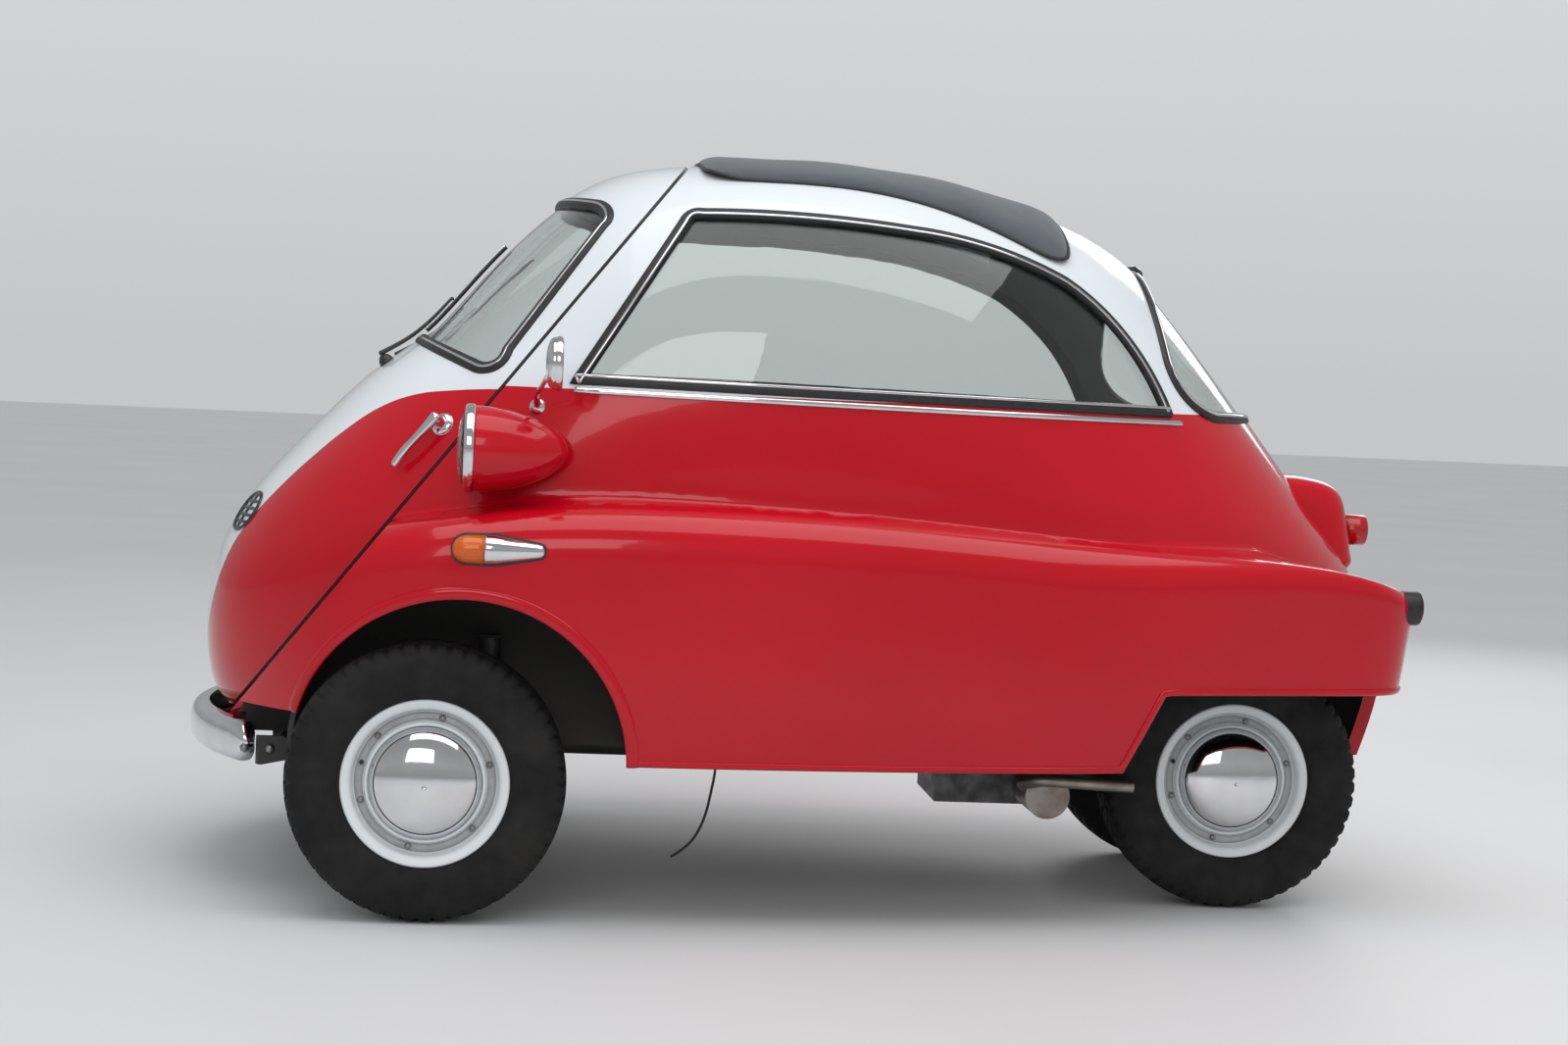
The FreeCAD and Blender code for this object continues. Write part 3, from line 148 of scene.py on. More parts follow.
def cabin_radius(turn, height, tilt):
    """Superellipse between the reach of nose or tail and that of the side, rounder towards the roof."""
    turn, height, tilt = np.broadcast_arrays(turn, height, tilt)
    c, s = np.cos(turn), np.sin(turn)
    end = np.where(c > 0, reach(nose_line, height, tilt), reach(tail_line, height, tilt))
    power = 2 + (np.where(c > 0, 2.55, 2.15) - 2) * np.cos(tilt) ** 3
    return (np.abs(c / end) ** power + np.abs(s / reach(side_line, height, tilt)) ** power) ** (-1 / power)


def shoulder(turn):
    """Height of the wing's shoulder in a direction, and a smooth step from 0 to 1 over the last 600 mm."""
    plan = np.interp(turn, wing_turn, wing_out)
    x = np.clip(AXIS - plan * np.cos(turn), SHOULDER[0][0], SHOULDER[-1][0])
    along = np.clip((x - 1100) / 600, 0, 1)
    return plan, shoulder_height(x), along * along * (3 - 2 * along)


SEAM_TILT = math.radians(52.2)


def seam_x(z):
    return 440 + (z - 1360) / math.tan(SEAM_TILT)


def body_radius(turn, z):
    """Cabin and wing blended by a smooth maximum, the wing let in by a hyperbolic tangent behind the seam."""
    turn, z = np.broadcast_arrays(turn, z)
    cabin = cabin_radius(turn, z, np.zeros_like(z))
    plan, crest, tail = shoulder(turn)
    high, deep, below = 95 - 45 * tail, 112 - 32 * tail, crest - z
    arc = deep * (1 - (1 - (1 - np.clip(below / high, 0, 1)) ** 2.3) ** (1 / 2.3))
    inset = np.where(below >= high, 0, np.where(below > 0, arc, deep - 6 * below))
    tuck = 22 * (np.maximum(0, 470 - z) / 190) ** 2
    wing = plan - inset - tuck - (0.13 * (600 - z) - 6) * tail
    both = 0.5 * (cabin + wing + np.hypot(cabin - wing, 30))
    x = AXIS - cabin * np.cos(turn)
    return cabin + np.tanh((x - seam_x(z)) / 60) * (both - cabin)


print("reach of the wing abeam of the axis:", round(float(body_radius(np.array(1.57), np.array(560.0))), 1))

# %% [markdown]
# Everything laid on the skin asks two things of it: how far a place is from it, and which way it faces there. The
# first is a gap function that is 0 on the skin, and the second is its slope. Halving finds where a line crosses it.

# %% Distance from the skin and its normal


def gap(p, rim, radius):
    """How far places lie outside a skin, along a level ray below the rim and along a tilted ray from it above."""
    turn, flat = np.arctan2(np.abs(p[..., 1]), AXIS - p[..., 0]), np.hypot(AXIS - p[..., 0], p[..., 1])
    rim = rim(turn)
    rise = np.maximum(p[..., 2] - rim, 0)
    tilt = np.minimum(np.arctan2(rise, flat), 1.5705)
    over = radius(turn, rim) - cabin_radius(turn, rim, 0 * tilt)
    fan = cabin_radius(turn, rim, tilt) + over * np.exp(-rise / 40)
    out = np.where(rise > 0, fan, radius(turn, np.minimum(p[..., 2], rim)))
    return np.hypot(flat, rise) - out / np.cos(tilt)


def cabin_gap(p):
    return gap(p, lambda turn: np.full(turn.shape, 790.0), lambda turn, z: cabin_radius(turn, z, 0 * z))


def body_gap(p):
    return gap(p, lambda turn: shoulder(turn)[1] + 60, body_radius)


def probe(p, skin):
    """Distance of places from a skin and its outward normals there: its gap over the slope, and the slope itself."""
    p = np.asarray(p, float)
    slope = np.stack([skin(p + step) - skin(p - step) for step in np.eye(3) * 0.5], -1)
    size = np.linalg.norm(slope, axis=-1, keepdims=True)
    return skin(p) / size[..., 0], slope / size


def skin_normals(p, skin):
    return probe(p, skin)[1]


def halved(inside, outside, skin, place):
    """Value between one inside a skin and one outside where place(value) crosses it, by 24 halvings of whole arrays."""
    for _ in range(24):
        middle = (inside + outside) / 2
        out = skin(place(middle)) > 0
        inside, outside = np.where(out, inside, middle), np.where(out, middle, outside)
    return middle


def spread(a, b, fill_in, fill_out):
    """Two coordinates as arrays of one shape, with arrays for the two limits."""
    a, b = np.broadcast_arrays(np.asarray(a, float), np.asarray(b, float))
    return a, b, np.full(a.shape, fill_in), np.full(a.shape, fill_out)


def skin_y(x, z, skin=body_gap):
    """Half width of a skin at a place seen from the side."""
    x, z, low, high = spread(x, z, 0.0, 760.0)
    return halved(low, high, skin, lambda y: np.stack([x, y, z], -1))


def roof_z(x, y):
    """Height of the roof over a place in plan."""
    x, y, low, high = spread(x, y, 790.0, 1400.0)
    return halved(low, high, body_gap, lambda z: np.stack([x, y, z], -1))


def nose_x(y, z):
    """Place of the door's skin along the car, at a half width and height."""
    y, z, low, high = spread(y, z, float(AXIS), -500.0)
    return halved(low, high, cabin_gap, lambda x: np.stack([x, y, z], -1))


print("wing half widths", skin_y([0, 600, 1200, 1700], [560, 560, 560, 560]).round())

# %% [markdown]
# Every new piece is a grid of points or a profile carried along a path, so a few helpers make the meshes.

# %% Mesh helpers


def row_frame(points):
    """From millimetres behind the front axle to metres of the shared frame."""
    return (np.asarray(points, float) - np.array([AXLE, 0, 0])) / 1000


def mesh_object(name, points, faces, smooth=True):
    mesh = bpy.data.meshes.new(name)
    mesh.from_pydata(row_frame(points).tolist(), [], faces.tolist() if hasattr(faces, "tolist") else faces)
    mesh.update()
    mesh.polygons.foreach_set("use_smooth", np.full(len(mesh.polygons), smooth))
    thing = bpy.data.objects.new(name, mesh)
    bpy.context.scene.collection.objects.link(thing)
    return thing


def grid_faces(rows, cols, wrap_rows=False, wrap_cols=False, start=0):
    """Quads of a grid of rows by cols points, closed round either way if asked."""
    i = np.arange(rows if wrap_rows else rows - 1)[:, None]
    j = np.arange(cols if wrap_cols else cols - 1)[None]
    a, b = (i * cols + j).ravel(), (i * cols + (j + 1) % cols).ravel()
    c, d = ((i + 1) % rows * cols + (j + 1) % cols).ravel(), ((i + 1) % rows * cols + j).ravel()
    return np.column_stack([a, b, c, d]) + start


def outward(thing):
    """Merges double points and turns all faces outwards."""
    work = bmesh.new()
    work.from_mesh(thing.data)
    bmesh.ops.remove_doubles(work, verts=work.verts, dist=1e-6)
    bmesh.ops.recalc_face_normals(work, faces=work.faces)
    work.to_mesh(thing.data)
    work.free()
    return thing


def mirror_points(points):
    return np.asarray(points) * np.array([1, -1, 1])


def joined(name, shapes, smooth=True):
    """One mesh from several (points, faces) shapes."""
    points, faces, start = [], [], 0
    for p, f in shapes:
        p = np.asarray(p, float).reshape(-1, 3)
        points.append(p)
        faces += (np.asarray(f) + start).tolist() if isinstance(f, np.ndarray) else [[k + start for k in q] for q in f]
        start += len(p)
    return outward(mesh_object(name, np.vstack(points), faces, smooth))


def revolved(profile, centre, axis=(0, 1, 0), steps=96, closed=False):
    """Profile of (radius, along) turned about an axis: centre + along a + radius (cos t u + sin t v)."""
    profile, a = np.asarray(profile, float), np.asarray(axis, float) / np.linalg.norm(axis)
    u = np.cross(a, [0.3, 0.2, 0.9])
    u /= np.linalg.norm(u)
    v, t = np.cross(a, u), np.linspace(0, 2 * np.pi, steps, endpoint=False)
    ring = np.cos(t)[:, None] * u + np.sin(t)[:, None] * v
    points = np.asarray(centre, float) + profile[:, 1, None, None] * a + profile[:, 0, None, None] * ring
    return points.reshape(-1, 3), grid_faces(len(profile), steps, closed, True)


def path_frames(path, closed):
    path = np.asarray(path, float)
    if closed:
        tangent = np.roll(path, -1, 0) - np.roll(path, 1, 0)
    else:
        tangent = np.gradient(path, axis=0)
    return path, tangent / np.linalg.norm(tangent, axis=1, keepdims=True)


def swept(path, profile, normals, closed=False):
    """Profile of (across, out) points carried along a path: path + across (t x n) + out n."""
    path, tangent = path_frames(path, closed)
    normals = np.asarray(normals, float)
    normals = normals - (normals * tangent).sum(1, keepdims=True) * tangent
    normals /= np.linalg.norm(normals, axis=1, keepdims=True)
    across, profile = np.cross(tangent, normals), np.asarray(profile, float)
    points = path[:, None] + profile[None, :, :1] * across[:, None] + profile[None, :, 1:] * normals[:, None]
    faces = grid_faces(len(path), len(profile), closed, True).tolist()
    if not closed:
        n, m = len(path), len(profile)
        faces += [list(range(m))[::-1], list(range((n - 1) * m, n * m))]
    return points.reshape(-1, 3), faces


def tube(path, radius, count=14, closed=False, side=(0, 0.02, 1)):
    """Round bar along a path, its radius one number or one for each station; ends are rounded caps."""
    path, tangent = path_frames(path, closed)
    radius = np.broadcast_to(np.asarray(radius, float), len(path))
    normal = np.asarray(side, float) - (tangent @ np.asarray(side, float))[:, None] * tangent
    normal /= np.linalg.norm(normal, axis=1, keepdims=True)
    across, turn = np.cross(tangent, normal), np.linspace(0, 2 * np.pi, count, endpoint=False)
    if not closed:
        cap = np.linspace(0, np.pi / 2, 5)[:-1]
        bulge = 0.6 * np.cos(cap)[:, None]
        path = np.vstack([path[0] - tangent[0] * radius[0] * bulge, path,
                          (path[-1] + tangent[-1] * radius[-1] * bulge)[::-1]])
        swell = np.sin(cap + 0.02)
        radius = np.concatenate([radius[0] * swell, radius, (radius[-1] * swell)[::-1]])
        across = across[np.clip(np.arange(-4, len(across) + 4), 0, len(across) - 1)]
        normal = normal[np.clip(np.arange(-4, len(normal) + 4), 0, len(normal) - 1)]
    ring = np.cos(turn)[None, :, None] * across[:, None] + np.sin(turn)[None, :, None] * normal[:, None]
    points = path[:, None] + radius[:, None, None] * ring
    faces = grid_faces(len(path), count, closed, True).tolist()
    if not closed:
        faces += [list(range(count))[::-1], list(range((len(path) - 1) * count, len(path) * count))]
    return points.reshape(-1, 3), faces


def curve_through(points, count=40):
    """Smooth line through a few points, spaced evenly by length."""
    points = np.asarray(points, float)
    along = np.concatenate([[0], np.cumsum(np.linalg.norm(np.diff(points, axis=0), axis=1))])
    fine = np.linspace(0, along[-1], 400)
    dense = np.column_stack([natural_spline(along, points[:, k])(fine) for k in range(points.shape[1])])
    return even(dense, count)


def even(line, count, closed=False):
    """The same line with points spaced evenly by length."""
    line = np.asarray(line, float)
    if closed:
        line = np.vstack([line, line[:1]])
    along = np.concatenate([[0], np.cumsum(np.linalg.norm(np.diff(line, axis=0), axis=1))])
    at = np.linspace(0, along[-1], count, endpoint=not closed)
    return np.column_stack([np.interp(at, along, line[:, k]) for k in range(line.shape[1])])


def finish_piece(thing, body, slot, material, *nodes):
    """Gives a piece its material, the body that it rides on, and the CAD nodes that it stands for."""
    if material is not None:
        thing.data.materials.clear()
        thing.data.materials.append(material)
    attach(thing, body)
    if nodes:
        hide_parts(*nodes)
    return thing


print("helpers ready")

# %% [markdown]
# The finishes. Each is a small tree of nodes on Object coordinates, so that its grain stays with the piece:
# enamel under lacquer with a trace of orange peel, chrome with faint haze, rubber, tyre, glass and cloth.

# %% Material helper


class Finish:
    """A material in the making: node() adds a node and link() joins two sockets."""

    def __init__(self, name, **values):
        self.material = bpy.data.materials.new(name)
        self.material.use_nodes = True
        self.tree = self.material.node_tree
        self.shader = self.tree.nodes["Principled BSDF"]
        self.output = self.tree.nodes["Material Output"]
        for key, value in values.items():
            self.shader.inputs[key.replace("_", " ")].default_value = value

    def node(self, kind, **values):
        made = self.tree.nodes.new("ShaderNode" + kind)
        for key, value in values.items():
            if hasattr(made, key):
                setattr(made, key, value)
            else:
                made.inputs[key.replace("_", " ")].default_value = value
        return made

    def link(self, source, target):
        self.tree.links.new(source, target)

    def place(self):
        return self.node("TexCoord").outputs["Object"]

    def noise(self, scale, detail=4.0, stretch=None):
        texture = self.node("TexNoise", Scale=scale, Detail=detail)
        source = self.place()
        if stretch is not None:
            mapping = self.node("Mapping")
            mapping.inputs["Scale"].default_value = stretch
            self.link(source, mapping.inputs["Vector"])
            source = mapping.outputs["Vector"]
        self.link(source, texture.inputs["Vector"])
        return texture.outputs["Fac"]

    def mapped(self, source, low, high, to_low, to_high):
        step = self.node("MapRange")
        for name, value in (("From Min", low), ("From Max", high), ("To Min", to_low), ("To Max", to_high)):
            step.inputs[name].default_value = value
        self.link(source, step.inputs["Value"])
        return step.outputs["Result"]

    def mixed(self, share, first, second, target="Base Color"):
        mix = self.node("Mix", data_type="RGBA")
        mix.inputs[6].default_value = (*first, 1)
        mix.inputs[7].default_value = (*second, 1)
        self.link(share, mix.inputs[0])
        if target:
            self.link(mix.outputs[2], self.shader.inputs[target])
        return mix

    def bump(self, height, strength, distance):
        bump = self.node("Bump", Strength=strength, Distance=distance)
        self.link(height, bump.inputs["Height"])
        self.link(bump.outputs["Normal"], self.shader.inputs["Normal"])
        return bump


# %% [markdown]
# Most of the car is one of a few finishes. The enamel is a glossy coat over colour. The metals, rubbers and linings
# share one recipe: two close shades in a noise pattern, and the same noise in the roughness and in a slight bump.

# %% Enamel, chrome and metals
LACQUER = dict(Metallic=0.0, Coat_Weight=0.7, Coat_Roughness=0.04, Coat_IOR=1.38, Specular_IOR_Level=0.2)


def enamel(name, colour, darker, roughness=0.16):
    """Gloss enamel: a faint cloudy change of shade, and fine orange peel in the coat."""
    f = Finish(name, Roughness=roughness, **LACQUER)
    f.mixed(f.mapped(f.noise(1.7), 0.35, 0.7, 0, 1), colour, darker)
    f.bump(f.noise(160, 2), 0.012, 0.001)
    return f.material


def plain(name, colour, second, roughness, metallic=0.0, scale=40.0, bump=0.05, rough_spread=0.12, **more):
    """A finish of two close shades in a noise pattern, with the same pattern in its roughness and its bump."""
    f = Finish(name, Metallic=metallic, **more)
    grain = f.noise(scale)
    f.mixed(f.mapped(grain, 0.3, 0.7, 0, 1), colour, second)
    f.link(f.mapped(grain, 0.3, 0.7, roughness - rough_spread / 2, roughness + rough_spread / 2),
           f.shader.inputs["Roughness"])
    if bump:
        f.bump(grain, bump, 0.001)
    return f.material


RED, RED_DARK = (0.50, 0.0022, 0.012), (0.44, 0.0015, 0.010)
WHITE, WHITE_DARK = (0.70, 0.745, 0.775), (0.66, 0.70, 0.73)
red_enamel = enamel("red_enamel", RED, RED_DARK)
white_enamel = enamel("white_enamel", WHITE, WHITE_DARK)
wheel_enamel = enamel("wheel_enamel", (0.74, 0.77, 0.78), (0.66, 0.69, 0.70), 0.25)
chrome = plain("chrome", (0.80, 0.80, 0.81), (0.72, 0.72, 0.74), 0.08, 1.0, 25, 0.0, 0.06)
steel = plain("steel", (0.35, 0.35, 0.36), (0.22, 0.21, 0.20), 0.42, 1.0, 60, 0.08)
black_paint = plain("black_paint", (0.016, 0.016, 0.017), (0.03, 0.028, 0.026), 0.42, 0.0, 30, 0.06)
engine_metal = plain("engine_metal", (0.20, 0.20, 0.20), (0.11, 0.105, 0.10), 0.55, 0.8, 45, 0.2)
rubber = plain("rubber", (0.012, 0.012, 0.013), (0.022, 0.022, 0.023), 0.45, 0.0, 90, 0.05)
lining = plain("lining", (0.13, 0.125, 0.12), (0.10, 0.095, 0.09), 0.8, 0.0, 300, 0.25)
underside = plain("underside", (0.020, 0.019, 0.018), (0.035, 0.030, 0.026), 0.7, 0.0, 50, 0.3)
print("metals and enamels:", len(bpy.data.materials))

# %% [markdown]
# The nose wears a white flash that starts as wide as the windscreen and narrows towards the bumper. The
# boundary is a curve of half width against height, drawn by a Float Curve node on the height of each point.

# %% Two-tone enamel of the door
FLASH_LOW, FLASH_HIGH = 400, 1000
FLASH = [(400, 60), (470, 142), (548, 190), (631, 226), (719, 268), (780, 293), (833, 316), (881, 352), (908, 402),
         (918, 451), (923, 487), (929, 600)]


def two_tone():
    """White where the distance from the middle plane is under the flash's half width at that height, else red."""
    f = Finish("two_tone_enamel", Roughness=0.16, **LACQUER)
    split = f.node("SeparateXYZ")
    f.link(f.place(), split.inputs[0])
    half = f.node("Math", operation="ABSOLUTE")
    f.link(split.outputs["Y"], half.inputs[0])
    curve = f.node("FloatCurve")
    line = curve.mapping.curves[0]
    flash = [((z - FLASH_LOW) / (FLASH_HIGH - FLASH_LOW), y / 1000) for z, y in FLASH]
    line.points[0].location, line.points[1].location = flash[0], (1.0, 1.0)
    for point in flash[1:]:
        line.points.new(*point)
    curve.mapping.update()
    f.link(f.mapped(split.outputs["Z"], FLASH_LOW / 1000, FLASH_HIGH / 1000, 0, 1), curve.inputs["Value"])
    beyond = f.node("Math", operation="SUBTRACT")
    f.link(half.outputs[0], beyond.inputs[0])
    f.link(curve.outputs[0], beyond.inputs[1])
    cloud = f.mapped(f.noise(1.7), 0.35, 0.7, 0, 1)
    white = f.mixed(cloud, WHITE, WHITE_DARK, None)
    red = f.mixed(cloud, RED, RED_DARK, None)
    colour = f.node("Mix", data_type="RGBA")
    f.link(f.mapped(beyond.outputs[0], -0.0006, 0.0006, 0, 1), colour.inputs[0])
    f.link(white.outputs[2], colour.inputs[6])
    f.link(red.outputs[2], colour.inputs[7])
    f.link(colour.outputs[2], f.shader.inputs["Base Color"])
    f.bump(f.noise(160, 2), 0.012, 0.001)
    return f.material


two_tone_enamel = two_tone()
print("flash from", FLASH[0], "to", FLASH[-1])

# %% [markdown]
# A shell from CAD is a mesh of large triangles whose corners lie on the skin. Shaded by its own facets it would
# look dented, so each painted panel is a copy whose corners take the exact normals of the skin: the slope of the
# gap function there. Reflections then run as smoothly as on pressed steel, and the cut edges stay where they are.

# %% Painted panels
SHELL_DEEP, SEAM_NEAR, CREASE = 25, 7, math.radians(32)


def mesh_array(items, attribute, width, kind=np.float32):
    found = np.empty(len(items) * width, kind)
    items.foreach_get(attribute, found)
    return found.reshape(-1, width) if width > 1 else found


def merged_copy(node, name, *materials):
    """The CAD node's mesh as a new object, its loose triangles merged, shaded smooth up to 32 degrees."""
    thing = bpy.data.objects.new(name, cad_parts[node].data.copy())
    bpy.context.scene.collection.objects.link(thing)
    thing.data.materials.clear()
    for material in materials:
        thing.data.materials.append(material)
    outward(thing)
    thing.data.polygons.foreach_set("use_smooth", np.ones(len(thing.data.polygons), bool))
    thing.data.polygons.foreach_set("material_index", np.zeros(len(thing.data.polygons), np.int32))
    thing.data.set_sharp_from_angle(angle=CREASE)
    return thing


def corners_on(thing, skin):
    """For each triangle's corners: places, distance from the skin, its normal, own normal, cosine to the face's."""
    mesh = thing.data
    corner = mesh_array(mesh.loops, "vertex_index", 1, np.int32).reshape(-1, 3)
    places = mesh_array(mesh.vertices, "co", 3).astype(float) * 1000 + np.array([AXLE, 0, 0])
    away, exact = (found[corner] for found in probe(places, skin))
    own = mesh_array(mesh.corner_normals, "vector", 3).reshape(-1, 3, 3)
    return places[corner], away, exact, own, (exact * mesh_array(mesh.polygons, "normal", 3)[:, None]).sum(-1)


def panel(node, name, skin, outer, inner):
    """Copy of a CAD shell. Its outer side and the inner one, 25 mm in, follow the skin. What is deep is lined."""
    thing = merged_copy(node, name, outer, inner)
    places, away, exact, own, agree = corners_on(thing, skin)
    outer_face = (np.abs(away) < 4).all(1) & (agree > 0.6).all(1)
    inner_face = (np.abs(away + SHELL_DEEP) < 5).all(1) & (agree < -0.6).all(1)
    at_seam = (np.abs(places[..., 0] - seam_x(places[..., 2])) < SEAM_NEAR).all(1)
    facing_in = (away.mean(1) < -8) & (agree.mean(1) < -0.5)
    lined = ((away.mean(1) < -20) | facing_in) & ~at_seam
    side = np.where(outer_face, 1, np.where(inner_face, -1, 0))[:, None, None]
    normals = np.where(side == 0, own, exact * side)
    thing.data.normals_split_custom_set(normals.reshape(-1, 3).tolist())
    thing.data.polygons.foreach_set("material_index", lined.astype(np.int32))
    print(name, "faces", len(away), "outside", int(outer_face.sum()), "lined", int(lined.sum()))
    return thing


PANELS = [("lower_body", "body_paint", body_gap, red_enamel, underside, "body", "red_paint"),
          ("roof_shell", "roof_paint", body_gap, white_enamel, lining, "body", "white_paint"),
          ("front_door", "door_paint", cabin_gap, two_tone_enamel, lining, "door", "white_paint"),
          ("engine_lid", "lid_paint", body_gap, red_enamel, underside, "lid", "red_paint")]
for node, name, skin, outer, inner, body, slot in PANELS:
    finish_piece(panel(node, name, skin, outer, inner), body, slot, None, node)

# %% [markdown]
# Under the floor hangs a thin loose cable. The real one has a bare end; here the line ends in a flat cap of the same
# black sheath. It is a NURBS line through the middle of its route, given its thickness by a bevel, so it bends as
# a wire does and never shows a corner.

# %% Loose cable
CABLE_ROUTE = [(522, -350, 273), (521, -350, 236), (514, -352, 198), (507, -356, 160), (492, -360, 122),
               (470, -362, 94), (444, -362, 78)]
cable_sheath = plain("cable_sheath", (0.014, 0.014, 0.015), (0.03, 0.03, 0.03), 0.5, 0.0, 400, 0.1)


def hanging_cable():
    curve = bpy.data.curves.new("under_floor_cable", "CURVE")
    curve.dimensions = "3D"
    line = curve.splines.new("NURBS")
    line.points.add(len(CABLE_ROUTE) - 1)
    route = np.column_stack([row_frame(CABLE_ROUTE), np.ones(len(CABLE_ROUTE))])
    line.points.foreach_set("co", route.ravel())
    line.order_u = 3
    line.use_endpoint_u = True
    curve.bevel_depth = 0.0025
    curve.bevel_resolution = 5
    curve.use_fill_caps = True
    thing = bpy.data.objects.new("under_floor_cable", curve)
    bpy.context.scene.collection.objects.link(thing)
    finish_piece(thing, "body", "black_rubber", cable_sheath, "loose_cable")
    return thing


print("cable leaves at", hanging_cable().data.splines[0].points[0].co[:3])

# %% [markdown]
# Window glass is clear with a breath of green. The panes are the CAD panes with the skin's own normals, so that
# what they mirror runs over the car in one sweep. Real refraction, not painted shine, lets the seats show.

# %% Clear glass


def clear(name, colour, roughness, ior=1.45):
    f = Finish(name, Transmission_Weight=1.0, IOR=ior, Base_Color=(*colour, 1))
    f.link(f.mapped(f.noise(6), 0.3, 0.7, roughness * 0.5, roughness * 1.5), f.shader.inputs["Roughness"])
    return f.material


window_glass = clear("window_glass", (0.88, 0.93, 0.91), 0.01)


def pane(node, name):
    """Copy of a CAD pane: each side takes the cabin's normals, turned about on its inner side."""
    thing = merged_copy(node, name, window_glass)
    places, away, exact, own, agree = corners_on(thing, cabin_gap)
    flat_side = (np.abs(agree) > 0.7).all(1)[:, None, None]
    normals = np.where(flat_side, exact * np.sign(agree)[..., None], own)
    thing.data.normals_split_custom_set(normals.reshape(-1, 3).tolist())
    return thing


for node, body in (("windscreen", "door"), ("side_windows", "body"), ("rear_window", "body")):
    finish_piece(pane(node, node + "_glass"), body, "clear_glass", None, node)
print("panes of glass ready")

# %% [markdown]
# Round each window lies a fat black rubber with a bright filler strip in it. Its path is the window's outline in
# side view, lifted onto the skin. Near the middle plane the skin turns edge-on to that view, so the points there
# are spaced by squares, which makes them even along the skin itself.

# %% Outlines of the windows


def arc_points(a, b, c, count=14):
    """Circle through three points: its centre lies on two perpendicular bisectors, its points from a by b to c."""
    a, b, c = (np.asarray(p, float) for p in (a, b, c))
    centre = np.linalg.solve(2 * np.array([b - a, c - a]), [b @ b - a @ a, c @ c - a @ a])
    start, middle, end = (np.arctan2(*(p - centre)[::-1]) for p in (a, b, c))
    middle = start + (middle - start + np.pi) % (2 * np.pi) - np.pi
    end = middle + (end - middle + np.pi) % (2 * np.pi) - np.pi
    t = np.linspace(start, end, count)
    return centre + np.linalg.norm(a - centre) * np.column_stack([np.cos(t), np.sin(t)])


def straight(a, b, count=24):
    return np.linspace(a, b, count)


def to_middle(corner, beyond):
    """Edge from a corner to where it leaves the skin at the middle plane, at shares last (1 - (1 - t)^2)."""
    corner, beyond = np.asarray(corner, float), np.asarray(beyond, float)
    line = lambda share: np.insert(corner + (beyond - corner) * share, 1, 0)
    last = halved(0.0, 1.0, cabin_gap, line)
    t = np.linspace(0, 1, 50)[:, None]
    return corner + last * (1 - (1 - t) ** 2) * (beyond - corner)


def on_cabin(line):
    """The left half's points of the cabin's skin over a line drawn in side view."""
    return np.column_stack([line[:, 0], -skin_y(line[:, 0], line[:, 1], cabin_gap), line[:, 1]])


def both_halves(line):
    """A left half that starts and ends on the middle plane, and its mirror image, as one loop."""
    left = on_cabin(line)
    left[[0, -1], 1] = 0
    return np.vstack([left, mirror_points(left)[-2:0:-1]])


side_line_2d = np.vstack([straight((224, 940), (408, 1236)), arc_points((408, 1236), (422, 1253), (450, 1259)),
                          arc_points((450, 1259), (640, 1259), (830, 1246), 40),
                          arc_points((830, 1246), (985, 1220), (1124, 1170), 40),
                          arc_points((1124, 1170), (1248, 1068), (1333, 926), 40),
                          straight((1333, 926), (224, 940), 90)])
screen_line = np.vstack([to_middle((56, 954), (-140, 1038))[::-1], arc_points((56, 954), (95, 961), (118, 993)),
                         straight((118, 993), (278, 1222)), arc_points((278, 1222), (288, 1250), (268, 1271)),
                         to_middle((268, 1271), (90, 1305))])
rear_line = np.vstack([to_middle((1334, 1209), (1720, 1209))[::-1],
                       arc_points((1334, 1209), (1313, 1200), (1309, 1178)), straight((1309, 1178), (1326, 1045)),
                       arc_points((1326, 1045), (1362, 963), (1440, 921)),
                       to_middle((1440, 921), (1720, 916))])
side_loop = even(on_cabin(side_line_2d), 420, True)
screen_loop = even(both_halves(screen_line), 420, True)
rear_loop = even(both_halves(rear_line), 420, True)
print("window outlines, metres:", [round(float(np.linalg.norm(np.diff(loop, axis=0), axis=1).sum()) / 1000, 2)
                                   for loop in (side_loop, screen_loop, rear_loop)])

# %% [markdown]
# A rubber section holds each pane, with a bright strip let into it. Both are bars of superellipse section, carried
# round the window's outline, so a bend in the outline bends them as the real rubber bends.

# %% Rubber seals and bright fillers


def smooth_rows(rows, rounds=6):
    """Each row of a closed loop averaged with its neighbours, a few times over."""
    for _ in range(rounds):
        rows = (np.roll(rows, 1, 0) + 2 * rows + np.roll(rows, -1, 0)) / 4
    return rows


def rounded_bar(half_width, half_height, across=0.0, out=0.0, power=2.6, count=18):
    """Superellipse of the given half sizes, its middle shifted across and out."""
    t = np.linspace(0, 2 * np.pi, count, endpoint=False)
    c, s = np.cos(t), np.sin(t)
    return np.column_stack([across + half_width * np.sign(c) * np.abs(c) ** (2 / power),
                            out + half_height * np.sign(s) * np.abs(s) ** (2 / power)])


def around(loop, half_width, half_height, inset, out):
    """A bar swept round a closed loop on the cabin's skin, shifted towards the loop's middle by inset."""
    normals = smooth_rows(skin_normals(loop, cabin_gap))
    tangent = path_frames(loop, True)[1]
    across = np.cross(tangent, normals)
    inward = np.sign(((loop.mean(0) - loop) * across).sum(1).mean())
    return swept(loop, rounded_bar(half_width, half_height, inward * inset, out), normals, True)


def mirrored_shape(shape):
    return mirror_points(shape[0]), shape[1]


